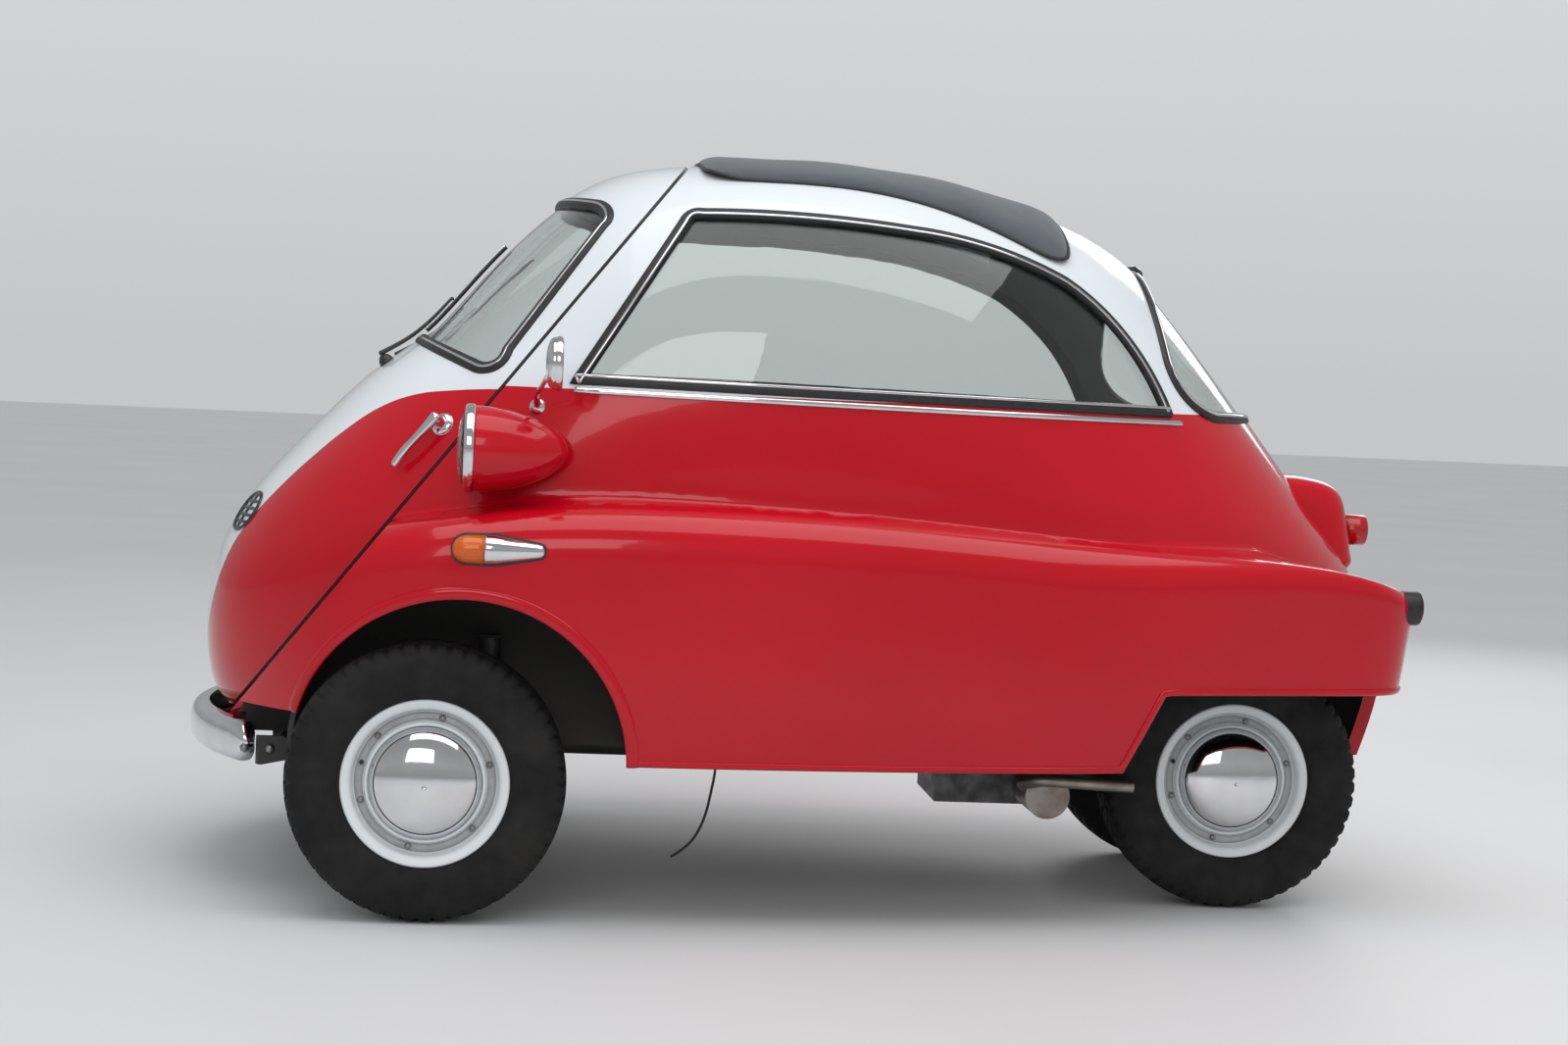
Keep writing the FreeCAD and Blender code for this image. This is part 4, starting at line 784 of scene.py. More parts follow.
SEALS = [("side", side_loop, "body", "side_window_seals", 11.0),
         ("screen", screen_loop, "door", "windscreen_seal", 13.0),
         ("rear", rear_loop, "body", "rear_window_seal", 12.0)]
for name, loop, body, node, width in SEALS:
    seal = around(loop, width, 9.5, 8.0, -4.0)
    filler = around(loop, 2.6, 2.0, 8.0 + (6.0 if name == "side" else 1.0), 4.6 if name != "side" else 4.2)
    seals, fillers = [seal], [filler]
    if name == "side":
        seals, fillers = [seal, mirrored_shape(seal)], [filler, mirrored_shape(filler)]
    finish_piece(joined(name + "_window_rubber", seals), body, "black_rubber", rubber, node)
    finish_piece(joined(name + "_window_filler", fillers), body, "bright_chrome", chrome)
print("seals of", len(SEALS), "kinds of window")

# %% [markdown]
# Pressed panels end in rolled hems: a flared lip round each front arch, a hem along the sill, up the step before
# the rear wheel and round the tail. A half round bar on the skin, in the body's own enamel, gives the bright line
# that the real edge catches.

# %% Hems of the body
ARCH = (55.0, 277.0, 292.0)
SILL = 285.0
STEP = (1236.0, 1308.0, 427.0)


def on_body(line):
    return np.column_stack([line[:, 0], -skin_y(line[:, 0], line[:, 1]), line[:, 1]])


def around_tail(z, first_x, count=80):
    """Level line on the skin from a place on the left side round to the middle of the tail."""
    turn = np.linspace(np.arctan2(550.0, AXIS - first_x), np.pi, count)
    x = AXIS - body_radius(turn, np.full(count, z)) * np.cos(turn)
    turn = turn[x > first_x]
    out = body_radius(turn, np.full(len(turn), z))
    return np.column_stack([AXIS - out * np.cos(turn), -out * np.sin(turn), np.full(len(turn), z)])


arch_turn = np.radians(np.linspace(165.5, 1.6, 110))
arch_line = np.array(ARCH[:2]) + (ARCH[2] + 7) * np.column_stack([np.cos(arch_turn), np.sin(arch_turn)])
sill_line = np.vstack([straight((ARCH[0] + ARCH[2] + 12, SILL + 6), (STEP[0] - 12, SILL + 6), 90),
                       straight((STEP[0] - 4, SILL + 10), (STEP[1] - 6, STEP[2] + 4), 20)])
arch_hem = on_body(arch_line)
sill_hem = np.vstack([on_body(sill_line), around_tail(STEP[2] + 7, STEP[1] + 12)])


def hem(line, half_width, half_height, out, count):
    line = even(line, count)
    normals = skin_normals(line, body_gap)
    normals[1:-1] = (normals[:-2] + 2 * normals[1:-1] + normals[2:]) / 4
    return swept(line, rounded_bar(half_width, half_height, 0, out, 2.0), normals)


arch_bars = hem(arch_hem, 11, 5.0, 0.5, 150)
sill_bars = hem(sill_hem, 6, 3.2, 0.8, 260)
finish_piece(joined("body_hems", [arch_bars, mirrored_shape(arch_bars), sill_bars, mirrored_shape(sill_bars)]),
             "body", "red_paint", red_enamel)
belt_line = on_body(straight((232, 928), (1352, 913), 200))
belt = hem(belt_line, 5.5, 3.6, 1.2, 220)
finish_piece(joined("belt_strips", [belt, mirrored_shape(belt)]), "body", "bright_chrome", chrome)
print("hems and belt strips")

# %% [markdown]
# The whole nose of the car is the door, and a soft rubber lies in the gap between it and the body. A flat bar is
# carried along the seam, up one side, over the roof and down the other. It lies in the seam's plane and starts a
# little inside the skin, so the gap stays dark from every side and no daylight shows through it.

# %% Rubber in the door's seam


def seam_rubber(low_z=292.0, half_gap=2.7, deep=14.0):
    """Flat bar carried up the seam's plane over the roof, set into the gap so that no light shows through it."""
    foot, above = np.array([seam_x(low_z), low_z]), np.array([seam_x(1420.0), 1420.0])
    last = halved(0.0, 1.0, cabin_gap, lambda share: np.insert(foot + (above - foot) * share, 1, 0))
    t = np.linspace(0, 1, 160)[:, None]
    line = foot + last * (1 - (1 - t) ** 2) * (above - foot)
    left = np.column_stack([line[:, 0], -skin_y(line[:, 0], line[:, 1], cabin_gap), line[:, 1]])
    left[-1, 1] = 0
    path = even(np.vstack([left, mirror_points(left)[-2::-1]]), 300)
    slope = np.array([np.sin(SEAM_TILT), 0, -np.cos(SEAM_TILT)])
    normals = skin_normals(path, cabin_gap)
    normals -= (normals @ slope)[:, None] * slope
    return swept(path, rounded_bar(half_gap, deep / 2, 0, -4.0 - deep / 2, 6.0, 16), normals)


finish_piece(joined("door_seam_rubber", [seam_rubber()]), "body", "black_rubber", rubber)
print("seam rubber laid")

# %% [markdown]
# Beside the door each wing ends in a narrow flat front, in the plane of the seam. Where the bulge of the wing runs
# ahead of that plane, the cut through its skin is open. A thin red plate closes it: every row starts just inside
# the door's side and runs out to where the wing's skin begins, found by asking the gap function along the row.

# %% Fronts of the wings


def wing_front(low_z=372.0, high_z=684.0, behind=3.6, thick=4.0, rows=70, cols=20):
    """Plate in the seam's plane: from the cabin's half width less 12 mm to the last one 4 mm inside the wing."""
    z = np.linspace(low_z, high_z, rows)
    x = seam_x(z) + behind / np.sin(SEAM_TILT)
    inner = skin_y(x, z, cabin_gap) - 12
    half_widths = np.linspace(300, 720, 421)
    row = np.stack(np.broadcast_arrays(x[:, None], half_widths, z[:, None]), -1)
    outer = np.maximum(np.where(body_gap(row) < -4, half_widths, 0).max(1), inner + 2)
    y = inner[:, None] + (outer - inner)[:, None] * np.linspace(0, 1, cols)
    front = np.stack(np.broadcast_arrays(x[:, None], -y, z[:, None]), -1)
    back = front + thick * np.array([np.sin(SEAM_TILT), 0, -np.cos(SEAM_TILT)])
    points = np.concatenate([front, back[:, ::-1]], axis=1)
    ring = np.arange(2 * cols)
    return points.reshape(-1, 3), grid_faces(rows, 2 * cols, False, True).tolist() + [
        ring[::-1].tolist(), (ring + (rows - 1) * 2 * cols).tolist()]


left_front = wing_front()
finish_piece(joined("wing_fronts", [left_front, mirrored_shape(left_front)], False), "body", "red_paint", red_enamel)
print("wing fronts closed")

# %% [markdown]
# A tyre is one grid: turn goes round the axle and the other way runs from bead to bead. The crown is lowered
# where grooves run, by a mask that is 1 inside a groove and 0 outside, so tread and sidewall are one surface.

# %% Tyres
TYRE_R = 243.0
BLOCKS, BLOCK_LONG = 54, 28


def groove(distance, half):
    """1 inside half of the groove's width, falling to 0 over a millimetre."""
    return np.clip((half - distance) / 1.2 + 0.5, 0, 1)


def tyre_shape(centre, s, steps=432):
    """Radius and offset over turn and a line across; crown = 243 - 5 (y / 50)^4 - 6 groove(turn, y)."""
    wall = curve_through([(146, 48), (148, 57.5), (160, 64.5), (176, 67), (190, 67.4), (206, 66), (220, 62.5),
                          (231, 57.5), (237.5, 51)], 18)
    rib = 1.1 * np.exp(-((wall[:, 0] - 172) / 2.5) ** 2) + 1.0 * np.exp(-((wall[:, 0] - 206) / 2.0) ** 2)
    wall = wall + np.column_stack([0 * rib, np.where(wall[:, 1] > 66.3, 0, rib)])
    crown = np.linspace(50, -50, 47)
    across = np.concatenate([wall[:, 1], crown, -wall[::-1, 1]])
    rise = np.concatenate([wall[:, 0], TYRE_R - 5 * (np.abs(crown) / 50) ** 4, wall[::-1, 0]])
    turn = np.linspace(0, 2 * np.pi, steps, endpoint=False)[:, None]
    phase = turn * BLOCKS / (2 * np.pi) % 1
    zigzag = 3.2 * (2 * np.abs(2 * phase - 1) - 1)
    y, span = across[None], np.abs(across[None])
    rings = np.maximum(groove(np.abs(span - 11 - zigzag), 2.4), groove(np.abs(span - 32 + zigzag), 2.6))
    sign = np.sign(y)
    slots = groove(np.abs((phase + 0.25 * (sign > 0)) % 1 - 0.5) * BLOCK_LONG, 3.4)
    slots = slots * (span > 32) * np.clip((62 - span) / 4, 0, 1)
    sipes = groove(np.abs((phase + span / 60) % 1 - 0.5) * BLOCK_LONG, 1.5)
    sipes = sipes * ((span < 9) | (span > 15)) * (span < 30) * 0.6
    deep = np.clip((rise[None] - 222) / 8, 0, 1)
    radius = rise[None] - 6.0 * np.maximum(np.maximum(rings, slots), sipes) * deep
    points = np.stack([radius * np.cos(turn), y * s + 0 * turn, radius * np.sin(turn)], axis=-1)
    inner = np.array([(131.5, 46.5), (127.6, 38), (127.6, -38), (131.5, -46.5)])[::-1]
    ring = np.stack([inner[:, 0] * np.cos(turn), inner[:, 1] * s + 0 * turn, inner[:, 0] * np.sin(turn)], axis=-1)
    points = np.concatenate([points, ring], axis=1) + np.asarray(centre, float)
    return points.reshape(-1, 3), grid_faces(steps, points.shape[1], True, True)


def tyre_rubber():
    """Black rubber, browner and rougher with a little dust in patches."""
    f = Finish("tyre_rubber", Metallic=0.0, Specular_IOR_Level=0.3)
    f.mixed(f.mapped(f.noise(9, 8), 0.42, 0.75, 0, 1), (0.007, 0.007, 0.008), (0.020, 0.018, 0.016))
    f.link(f.mapped(f.noise(30), 0.3, 0.7, 0.6, 0.85), f.shader.inputs["Roughness"])
    f.bump(f.noise(500, 2), 0.25, 0.001)
    return f.material


tyre_black = tyre_rubber()
FRONT_TRACK, REAR_TRACK, WHEELBASE = 1200.0, 520.0, 1500.0
WHEELS = [("front_left", "wheel_front_left", [(0, -FRONT_TRACK / 2, TYRE_R, -1)]),
          ("front_right", "wheel_front_right", [(0, FRONT_TRACK / 2, TYRE_R, 1)]),
          ("rear", "wheels_rear", [(WHEELBASE, s * REAR_TRACK / 2, TYRE_R, s) for s in (-1, 1)])]


def wheel_nodes(kind, place):
    return "rear_" + kind + "s" if place == "rear" else "front_" + kind + "_" + place.split("_")[1]


for place_name, body, centres in WHEELS:
    shapes = [tyre_shape((x, y, z), s) for x, y, z, s in centres]
    finish_piece(joined("tyre_" + place_name, shapes), body, "black_tyre", tyre_black, wheel_nodes("tyre", place_name))
print("tyres with", BLOCKS, "blocks round")

# %% [markdown]
# The steel wheel is turned from one outline: a broad white flange, a sunk band that holds the bolts, and a
# raised lip that grips the chrome cap. The band is painted grey as the shade in its recess. Cutting the corners
# of the outline rounds them as a press does.

# %% Rims, bands and caps


def softened(points, rounds=2):
    """Corner cutting of a closed line: each side gives the points a quarter and three quarters along it."""
    points = np.asarray(points, float)
    for _ in range(rounds):
        ahead_points = np.roll(points, -1, 0)
        points = np.stack([0.75 * points + 0.25 * ahead_points, 0.25 * points + 0.75 * ahead_points], 1).reshape(-1, 2)
    return points


RIM = [(96, 30), (98, 40), (101, 42.5), (104, 41), (105.5, 34), (108, 29), (121, 29), (124, 32), (126.4, 42),
       (128.6, 49), (132, 52.8), (138, 54.5), (143, 55.5), (146, 53), (145.5, 48), (140, 46.5), (131, 44), (127.3, 37),
       (127.3, -37), (131, -44), (140, -46.5), (145.5, -48), (146, -52), (140, -53), (126, -51), (117, -45),
       (114, 8), (108, 20), (95, 26), (30, 26), (15.2, 26), (15.2, 31), (30, 31), (90, 31)]
BAND_OUT = 30.2
BAND = [(106.6, 28.4), (106.6, BAND_OUT), (123.0, BAND_OUT), (123.0, 28.4)]
CAP_R, CAP_DEPTH = 97.0, 44.0
RIM_STEPS, CAP_STEPS = 128, 104
BOLT_R, BOLTS, FIRST_BOLT, VALVE_TURN = 114.5, 6, np.radians(17.0), np.radians([164.0])
cap_turn = np.radians(np.linspace(0, 90, 26))
CAP = np.vstack([[(92, 38), (97, 38), (98.2, 39.5)],
                 np.column_stack([CAP_R * np.cos(cap_turn) + 0.01, 41.5 + CAP_DEPTH * np.sin(cap_turn)]),
                 np.column_stack([93 * np.cos(cap_turn) + 0.01, 41 + 40 * np.sin(cap_turn)])[::-1]])
# The sunk band's grey is painted shade: it darkens the recess that holds the bolts.
recess_painted_shade = plain("recess_painted_shade", (0.40, 0.41, 0.42), (0.33, 0.335, 0.34), 0.35, 0.0, 60, 0.05)


def domes(centres, axis, radius, height, steps=14):
    """Small round heads, one for each centre, all in one mesh: the first turned, then copied by adding offsets."""
    t = np.radians(np.linspace(0, 90, 5))
    profile = np.vstack([[(radius * 0.98, -1.0)], np.column_stack([radius * np.cos(t) + 0.005, height * np.sin(t)])])
    base, faces = revolved(profile, (0, 0, 0), axis, steps)
    points = (np.asarray(centres, float)[:, None] + base[None]).reshape(-1, 3)
    lid = np.arange(steps)
    faces = faces.tolist() + [lid[::-1].tolist(), (lid + (len(profile) - 1) * steps).tolist()]
    count = len(base)
    return points, [[k + count * n for k in face] for n in range(len(centres)) for face in faces]


def heads_at(turn, centre, radius, height):
    """Small heads on the sunk band, painted grey as its shade: centre + BOLT_R (cos t, sin t) in the wheel's plane."""
    x, y, z, s = centre
    places = np.column_stack([x + BOLT_R * np.cos(turn), np.full(len(turn), y + s * BAND_OUT),
                              z + BOLT_R * np.sin(turn)])
    return domes(places, (0, s, 0), radius, height)


bolt_turn = FIRST_BOLT + 2 * np.pi * np.arange(BOLTS) / BOLTS
for place_name, body, centres in WHEELS:
    rims, bands, caps, bolts, valves = [], [], [], [], []
    for x, y, z, s in centres:
        rims.append(revolved(softened(RIM, 1), (x, y, z), (0, s, 0), RIM_STEPS, True))
        bands.append(revolved(BAND, (x, y, z), (0, s, 0), RIM_STEPS, True))
        caps.append(revolved(CAP, (x, y, z), (0, s, 0), CAP_STEPS, True))
        bolts.append(heads_at(bolt_turn, (x, y, z, s), 6.2, 5.0))
        valves.append(heads_at(VALVE_TURN, (x, y, z, s), 4.2, 12.0))
    finish_piece(joined("rim_" + place_name, rims), body, "wheel_paint", wheel_enamel, wheel_nodes("rim", place_name))
    # The band's grey is painted shade of the recess.
    finish_piece(joined("rim_band_" + place_name, bands), body, "grey_paint", recess_painted_shade)
    finish_piece(joined("rim_bolts_" + place_name, bolts), body, "steel", steel)
    finish_piece(joined("tyre_valves_" + place_name, valves), body, "black_rubber", rubber)
    finish_piece(joined("cap_" + place_name, caps), body, "bright_chrome", chrome, wheel_nodes("hubcap", place_name))
print("wheels:", [w[0] for w in WHEELS])

# %% [markdown]
# The headlamps are drops of pressed steel on the wings. Each is turned about its own axis, then every point that
# would lie inside the wing is raised to just under its skin, so the drop sits on the wing without a gap.

# %% Headlamps
LAMP = np.array([60.0, 590.0, 820.0])
LAMP_R, LAMP_LONG = 75.0, 163.0


def hugging(points, lift):
    """Half width is the larger of the point's own and the skin's plus lift."""
    points = np.asarray(points, float)
    side = np.where(points[:, 1] < 0, -1.0, 1.0)
    wall = skin_y(points[:, 0], points[:, 2]) + lift
    return np.column_stack([points[:, 0], side * np.maximum(np.abs(points[:, 1]), wall), points[:, 2]])


def both_sides(shape):
    return [shape, mirrored_shape(shape)]


def bulge(start, end, radius, power, count=30):
    """Radius (1 - share^n)^(1/n) over a share of the length that runs finer towards the tip."""
    share = np.sin(np.linspace(0, np.pi / 2, count))
    return np.column_stack([radius * (1 - share ** power) ** (1 / power) + 0.004, start + (end - start) * share])


def lamp_part(profile, lift=None, steps=84):
    points, faces = revolved(profile, LAMP * np.array([0, -1, 1]), (1, 0, 0), steps, True)
    return both_sides((points if lift is None else hugging(points, lift), faces))


pod = np.vstack([bulge(60, 60 + LAMP_LONG, LAMP_R, 1.9, 40), bulge(62, 52 + LAMP_LONG, LAMP_R - 4, 1.9, 40)[::-1]])
finish_piece(joined("headlamp_shells", lamp_part(pod, -3.0)), "body", "red_paint", red_enamel, "headlamp_pods")
lamp_ring = softened([(66.5, 47), (72, 43.5), (76.5, 46), (78, 53), (77.5, 61.5), (73, 62), (66.5, 60)])
finish_piece(joined("headlamp_bezels", lamp_part(lamp_ring)), "body", "bright_chrome", chrome, "headlamp_rings")
bowl_r = np.linspace(68, 12, 24)
bowl = np.column_stack([bowl_r, 58 + 44 * (1 - (bowl_r / 68) ** 2)])
bowl = np.vstack([bowl, [(0.01, 102)], [(0.01, 104)], (bowl + np.array([1.2, 2.0]))[::-1]])
mirror_silver = plain("mirror_silver", (0.86, 0.86, 0.87), (0.78, 0.78, 0.80), 0.12, 1.0, 30, 0.0, 0.05)
finish_piece(joined("headlamp_bowls", lamp_part(bowl, -2.0)), "body", "bright_chrome", mirror_silver)


def fluted_glass(rings=30, turns=144):
    """Dome outside, and inside it the same dome less 3 mm and less upright flutes, |sin| of the place across."""
    turn = np.linspace(0, 2 * np.pi, turns, endpoint=False)[None]
    share = np.linspace(0, 1, rings)[:, None]
    radius = 67.4 * share + 0 * turn
    dome = 16.5 * np.sqrt(np.clip(1 - share ** 2, 0, 1)) + 0 * turn
    y, z = radius * np.cos(turn), radius * np.sin(turn)
    flutes = 0.9 * np.abs(np.sin(y * np.pi / 9.0)) * np.clip((60 - radius) / 6, 0, 1)
    outer = np.stack([LAMP[0] - 12 - dome, y - LAMP[1], z + LAMP[2]], -1)
    inner = np.stack([LAMP[0] - 9 - dome * 0.9 + flutes, y - LAMP[1], z + LAMP[2]], -1)
    points = np.concatenate([outer, inner[::-1]]).reshape(-1, 3)
    return points, grid_faces(2 * rings, turns, False, True)


lamp_glass = clear("lamp_glass", (0.93, 0.96, 0.96), 0.02)
finish_piece(joined("headlamp_glass", both_sides(fluted_glass())), "body", "clear_glass", lamp_glass, "headlamp_lenses")
bulb = revolved(np.vstack([bulge(92, 74, 9.5, 2.2, 14), [(9.5, 92)], [(6, 97)], [(6, 103)], [(0.01, 103)]]),
                LAMP * np.array([0, -1, 1]), (1, 0, 0), 32)
finish_piece(joined("headlamp_bulbs", both_sides(bulb)), "body", "clear_glass", lamp_glass)
print("headlamps at", LAMP)

# %% [markdown]
# The indicators are bullets on the wings: an amber lens in front, a bright tapered housing behind, and a dark
# gasket under both. All are turned about one axis, and what lies inside the wing is raised as on the headlamps.

# %% Indicators, tail lamps and stop lamp
BULLET_X, BULLET_Z, BULLET_SPLIT, BULLET_END = 32.0, 652.0, 87.0, 190.0
BULLET_Y = float(skin_y(BULLET_SPLIT, BULLET_Z)) - 2


def plastic(name, colour, deep, transmission=0.35):
    """Lens plastic: light passes in part, fine ribs across and a clean gloss."""
    f = Finish(name, Transmission_Weight=transmission, IOR=1.49, Coat_Weight=0.4, Coat_Roughness=0.03)
    f.mixed(f.mapped(f.noise(14), 0.3, 0.7, 0, 1), colour, deep)
    f.link(f.mapped(f.noise(35), 0.3, 0.7, 0.08, 0.16), f.shader.inputs["Roughness"])
    wave = f.node("TexWave", wave_type="BANDS", bands_direction="Z", Scale=90.0, Distortion=0.0)
    f.link(f.place(), wave.inputs["Vector"])
    f.bump(wave.outputs["Fac"], 0.25, 0.0006)
    return f.material


amber = plastic("amber_lens", (0.95, 0.19, 0.004), (0.85, 0.12, 0.002))
red_lens = plastic("red_lens", (0.55, 0.004, 0.006), (0.40, 0.002, 0.004), 0.25)


def bullet(profile, lift=-3.0):
    centre = (0, -BULLET_Y, BULLET_Z)
    points, faces = revolved(profile, centre, (1, 0, 0), 56, False)
    return both_sides((hugging(points, lift), faces))


lens = np.vstack([bulge(BULLET_SPLIT - 26, BULLET_X, 24, 2.2, 18)[::-1],
                  [(24.6, BULLET_SPLIT - 10), (24.6, BULLET_SPLIT), (0.01, BULLET_SPLIT)]])
housing = np.vstack([[(0.01, BULLET_SPLIT), (24.0, BULLET_SPLIT), (25.5, BULLET_SPLIT + 2), (25.2, BULLET_SPLIT + 8)],
                     straight((24.6, BULLET_SPLIT + 20), (13.5, BULLET_END - 12), 12),
                     [(12.2, BULLET_END - 6), (9.0, BULLET_END - 1.5), (5, BULLET_END), (0.01, BULLET_END)]])
finish_piece(joined("indicator_lens_caps", bullet(lens)), "body", "amber_plastic", amber, "indicator_lenses")
finish_piece(joined("indicator_bodies", bullet(housing)), "body", "bright_chrome", chrome, "indicator_housings")
gasket = np.vstack([lens[:-1] * [1.14, 1] - [0, 2.5], housing[3:-1] * [1.14, 1] + [0, 2.5],
                    [(0.01, BULLET_END + 2.5)]])
gasket_points, gasket_faces = revolved(gasket, (0, -BULLET_Y, BULLET_Z), (1, 0, 0), 56)
wall = skin_y(gasket_points[:, 0], gasket_points[:, 2])
gasket_points[:, 1] = -np.clip(-gasket_points[:, 1], wall - 3, wall + 2.2)
finish_piece(joined("indicator_gaskets", both_sides((gasket_points, gasket_faces))), "body", "black_rubber", rubber)

TAIL_Y, TAIL_Z, STOP_Z = 392.0, 588.0, 711.0


def round_lens(centre, start, end, radius):
    """Short cylinder with a domed face: straight for most of its length, then a bulge of 7 mm."""
    profile = np.vstack([[(0.01, start), (radius, start), (radius, end - 8)],
                         bulge(end - 7, end, radius - 0.6, 2.6, 16)])
    return revolved(profile, centre, (1, 0, 0), 72)


tail_lens = round_lens((0, -TAIL_Y, TAIL_Z), 1768, 1822, 27.5)
tail_rim = revolved(softened([(27.5, 1768), (27.5, 1816), (31, 1816), (32, 1808), (32, 1768)]), (0, -TAIL_Y, TAIL_Z),
                    (1, 0, 0), 72, True)
finish_piece(joined("tail_lenses", both_sides(tail_lens)), "body", "red_plastic", red_lens, "tail_lamps")
finish_piece(joined("tail_lamp_rims", both_sides(tail_rim)), "body", "black_rubber", rubber)
finish_piece(joined("stop_lamp_lens", [round_lens((0, 0, STOP_Z), 1766, 1827.5, 30.5)]), "body", "red_plastic",
             red_lens, "stop_lamp")
stop_ring = softened([(30.6, 1762), (30.6, 1772), (33, 1772), (34, 1768), (34, 1762)])
finish_piece(joined("stop_lamp_gasket", [revolved(stop_ring, (0, 0, STOP_Z), (1, 0, 0), 72, True)]), "body",
             "black_rubber", rubber)
print("lamps ready")

# %% [markdown]
# The hump that carries the blank number plate grows out of the tail. Each line across it is the outline in side
# view, drawn back to a line inside the body by (1 - |u|^4.5)^(1/3.2), so its ends round off like a blister.

# %% Plate hump
HUMP = [(1618, 817), (1660, 817), (1700, 812), (1732, 803), (1752, 788), (1764, 764), (1771, 730), (1777, 700),
        (1782, 666), (1784, 648), (1778, 640)]
HUMP_ROOT = [(1560, 790), (1700, 640)]
HUMP_HALF, HUMP_ROWS, HUMP_COLS = 110, 61, 46
hump_line = curve_through(HUMP, HUMP_COLS)
hump_root = np.linspace(*HUMP_ROOT, HUMP_COLS)
u = np.sin(np.linspace(-np.pi / 2, np.pi / 2, HUMP_ROWS))[:, None, None]
swell = np.clip(1 - np.abs(u) ** 4.5, 0, 1) ** (1 / 3.2)
section = hump_root[None] + (hump_line - hump_root)[None] * swell
loop = np.concatenate([section, np.broadcast_to(hump_root[::-1][None], section.shape)], axis=1)
hump = np.stack([loop[..., 0], np.broadcast_to(HUMP_HALF * u[..., 0], loop.shape[:2]), loop[..., 1]], -1)
hump_faces = grid_faces(HUMP_ROWS, 2 * HUMP_COLS, False, True)
finish_piece(joined("plate_hump", [(hump.reshape(-1, 3), hump_faces)]), "body", "red_paint", red_enamel, "plate_plinth")
print("plate hump", hump.min((0, 1)).round(), hump.max((0, 1)).round())

# %% [markdown]
# The bumper is a bow of bright steel, a C in section. The C is carried along an arc of 734 mm radius and shrinks
# to nothing at both ends by an ellipse, which closes them in a round nose.

# %% Bumper and its brackets
BOW_X, BOW_Z, BOW_HALF, BOW_SWEEP = -468.0, 271.0, 420.0, 132.0
BOW_R = (BOW_HALF ** 2 + BOW_SWEEP ** 2) / (2 * BOW_SWEEP)


def bumper_bow(stations=161):
    """Section (depth, height) shrunk by an ellipse over the last 46 mm, on x = front + R (1 - cos t), y = R sin t."""
    end = math.asin(BOW_HALF / BOW_R)
    t = np.linspace(-end, end, stations)[:, None]
    left = np.clip((end - np.abs(t)) * BOW_R / 46.0, 0, 1)
    shrink = np.sqrt(np.clip(1 - (1 - left) ** 2, 0, 1)) * 0.995 + 0.005
    a = np.linspace(-1, 1, 33)
    outer = np.column_stack([30 * np.abs(a) ** 2.6, 38.5 * np.sin(a * np.pi / 2)])
    lip = np.array([(34, 38.0), (35.5, 35.5), (33.5, 33.5)])
    inner = np.column_stack([3.5 + 28 * np.abs(a) ** 2.6, 34.5 * np.sin(a * np.pi / 2)])[::-1]
    section = np.vstack([outer, lip, inner, lip[::-1] * [1, -1]])
    depth = section[None, :, 0] * (0.35 + 0.65 * shrink) + 16 * (1 - shrink)
    height = section[None, :, 1] * shrink
    ring = BOW_R - depth
    points = np.stack([BOW_X + BOW_R - ring * np.cos(t), ring * np.sin(t), BOW_Z + height], -1)
    count = len(section)
    faces = grid_faces(stations, count, False, True).tolist()
    faces += [list(range(count))[::-1], list(range((stations - 1) * count, stations * count))]
    return points.reshape(-1, 3), faces


finish_piece(joined("bumper_bow", [bumper_bow()]), "body", "bright_chrome", chrome, "front_bumper")
bolt_places = [(-330, -409.5, 262), (-285, -409.5, 262)]
heads = domes(bolt_places, (0, -1, 0), 9, 6, 6)
finish_piece(joined("bracket_bolts", both_sides(heads)), "body", "steel", steel)
print("bumper radius", round(BOW_R))

# %% [markdown]
# Bright trim that stands off the skin: mirrors on curved arms and the door's lever handle. Arms are round bars
# along smooth lines through a few points, and heads are turned.

# %% Mirrors and door handle


def swelling(values, count):
    return natural_spline(np.linspace(0, 1, len(values)), np.array(values, float))(np.linspace(0, 1, count))


MIRROR = np.array([200.0, -655.0, 973.0])
mirror_foot = np.array([168.0, -(float(skin_y(168, 896, cabin_gap)) - 1), 896.0])
arm = curve_through([mirror_foot, mirror_foot + [-2, -22, 14], (172, -612, 930), (186, -640, 955),
                     MIRROR + [-4, 6, -4]], 40)
arms = tube(arm, swelling([7.5, 5.2, 4.6, 4.6, 6.0], 40), 16)
foot_dome = revolved(np.vstack([[(0.01, -3), (15, -3)], bulge(0, 9, 15, 2.2, 12)]), mirror_foot, (0, -1, 0.1), 40)
shell = np.vstack([bulge(194, 178, 45, 2.3, 24)[::-1], [(46, 196), (47, 200), (47, 206), (45, 208), (43.5, 207),
                                                      (43.5, 203), (0.01, 203)]])
head = revolved(shell, MIRROR * np.array([0, 1, 1]), (1, 0, 0), 72)
finish_piece(joined("mirror_chrome", both_sides(arms) + both_sides(foot_dome) + both_sides(head)), "body",
             "bright_chrome", chrome, "mirrors")
glass = revolved([(0.01, 203.2), (43.3, 203.2), (43.3, 205.4), (0.01, 205.6)], MIRROR * np.array([0, 1, 1]),
                 (1, 0, 0), 64)
finish_piece(joined("mirror_glass", both_sides(glass)), "body", "clear_glass", mirror_silver)


def nose_point(y, z, lift=0.0):
    """Place on the door's skin at a half width and height, or lifted off it."""
    here = np.array([float(nose_x(y, z)), y, z])
    return here + lift * skin_normals(here, cabin_gap)


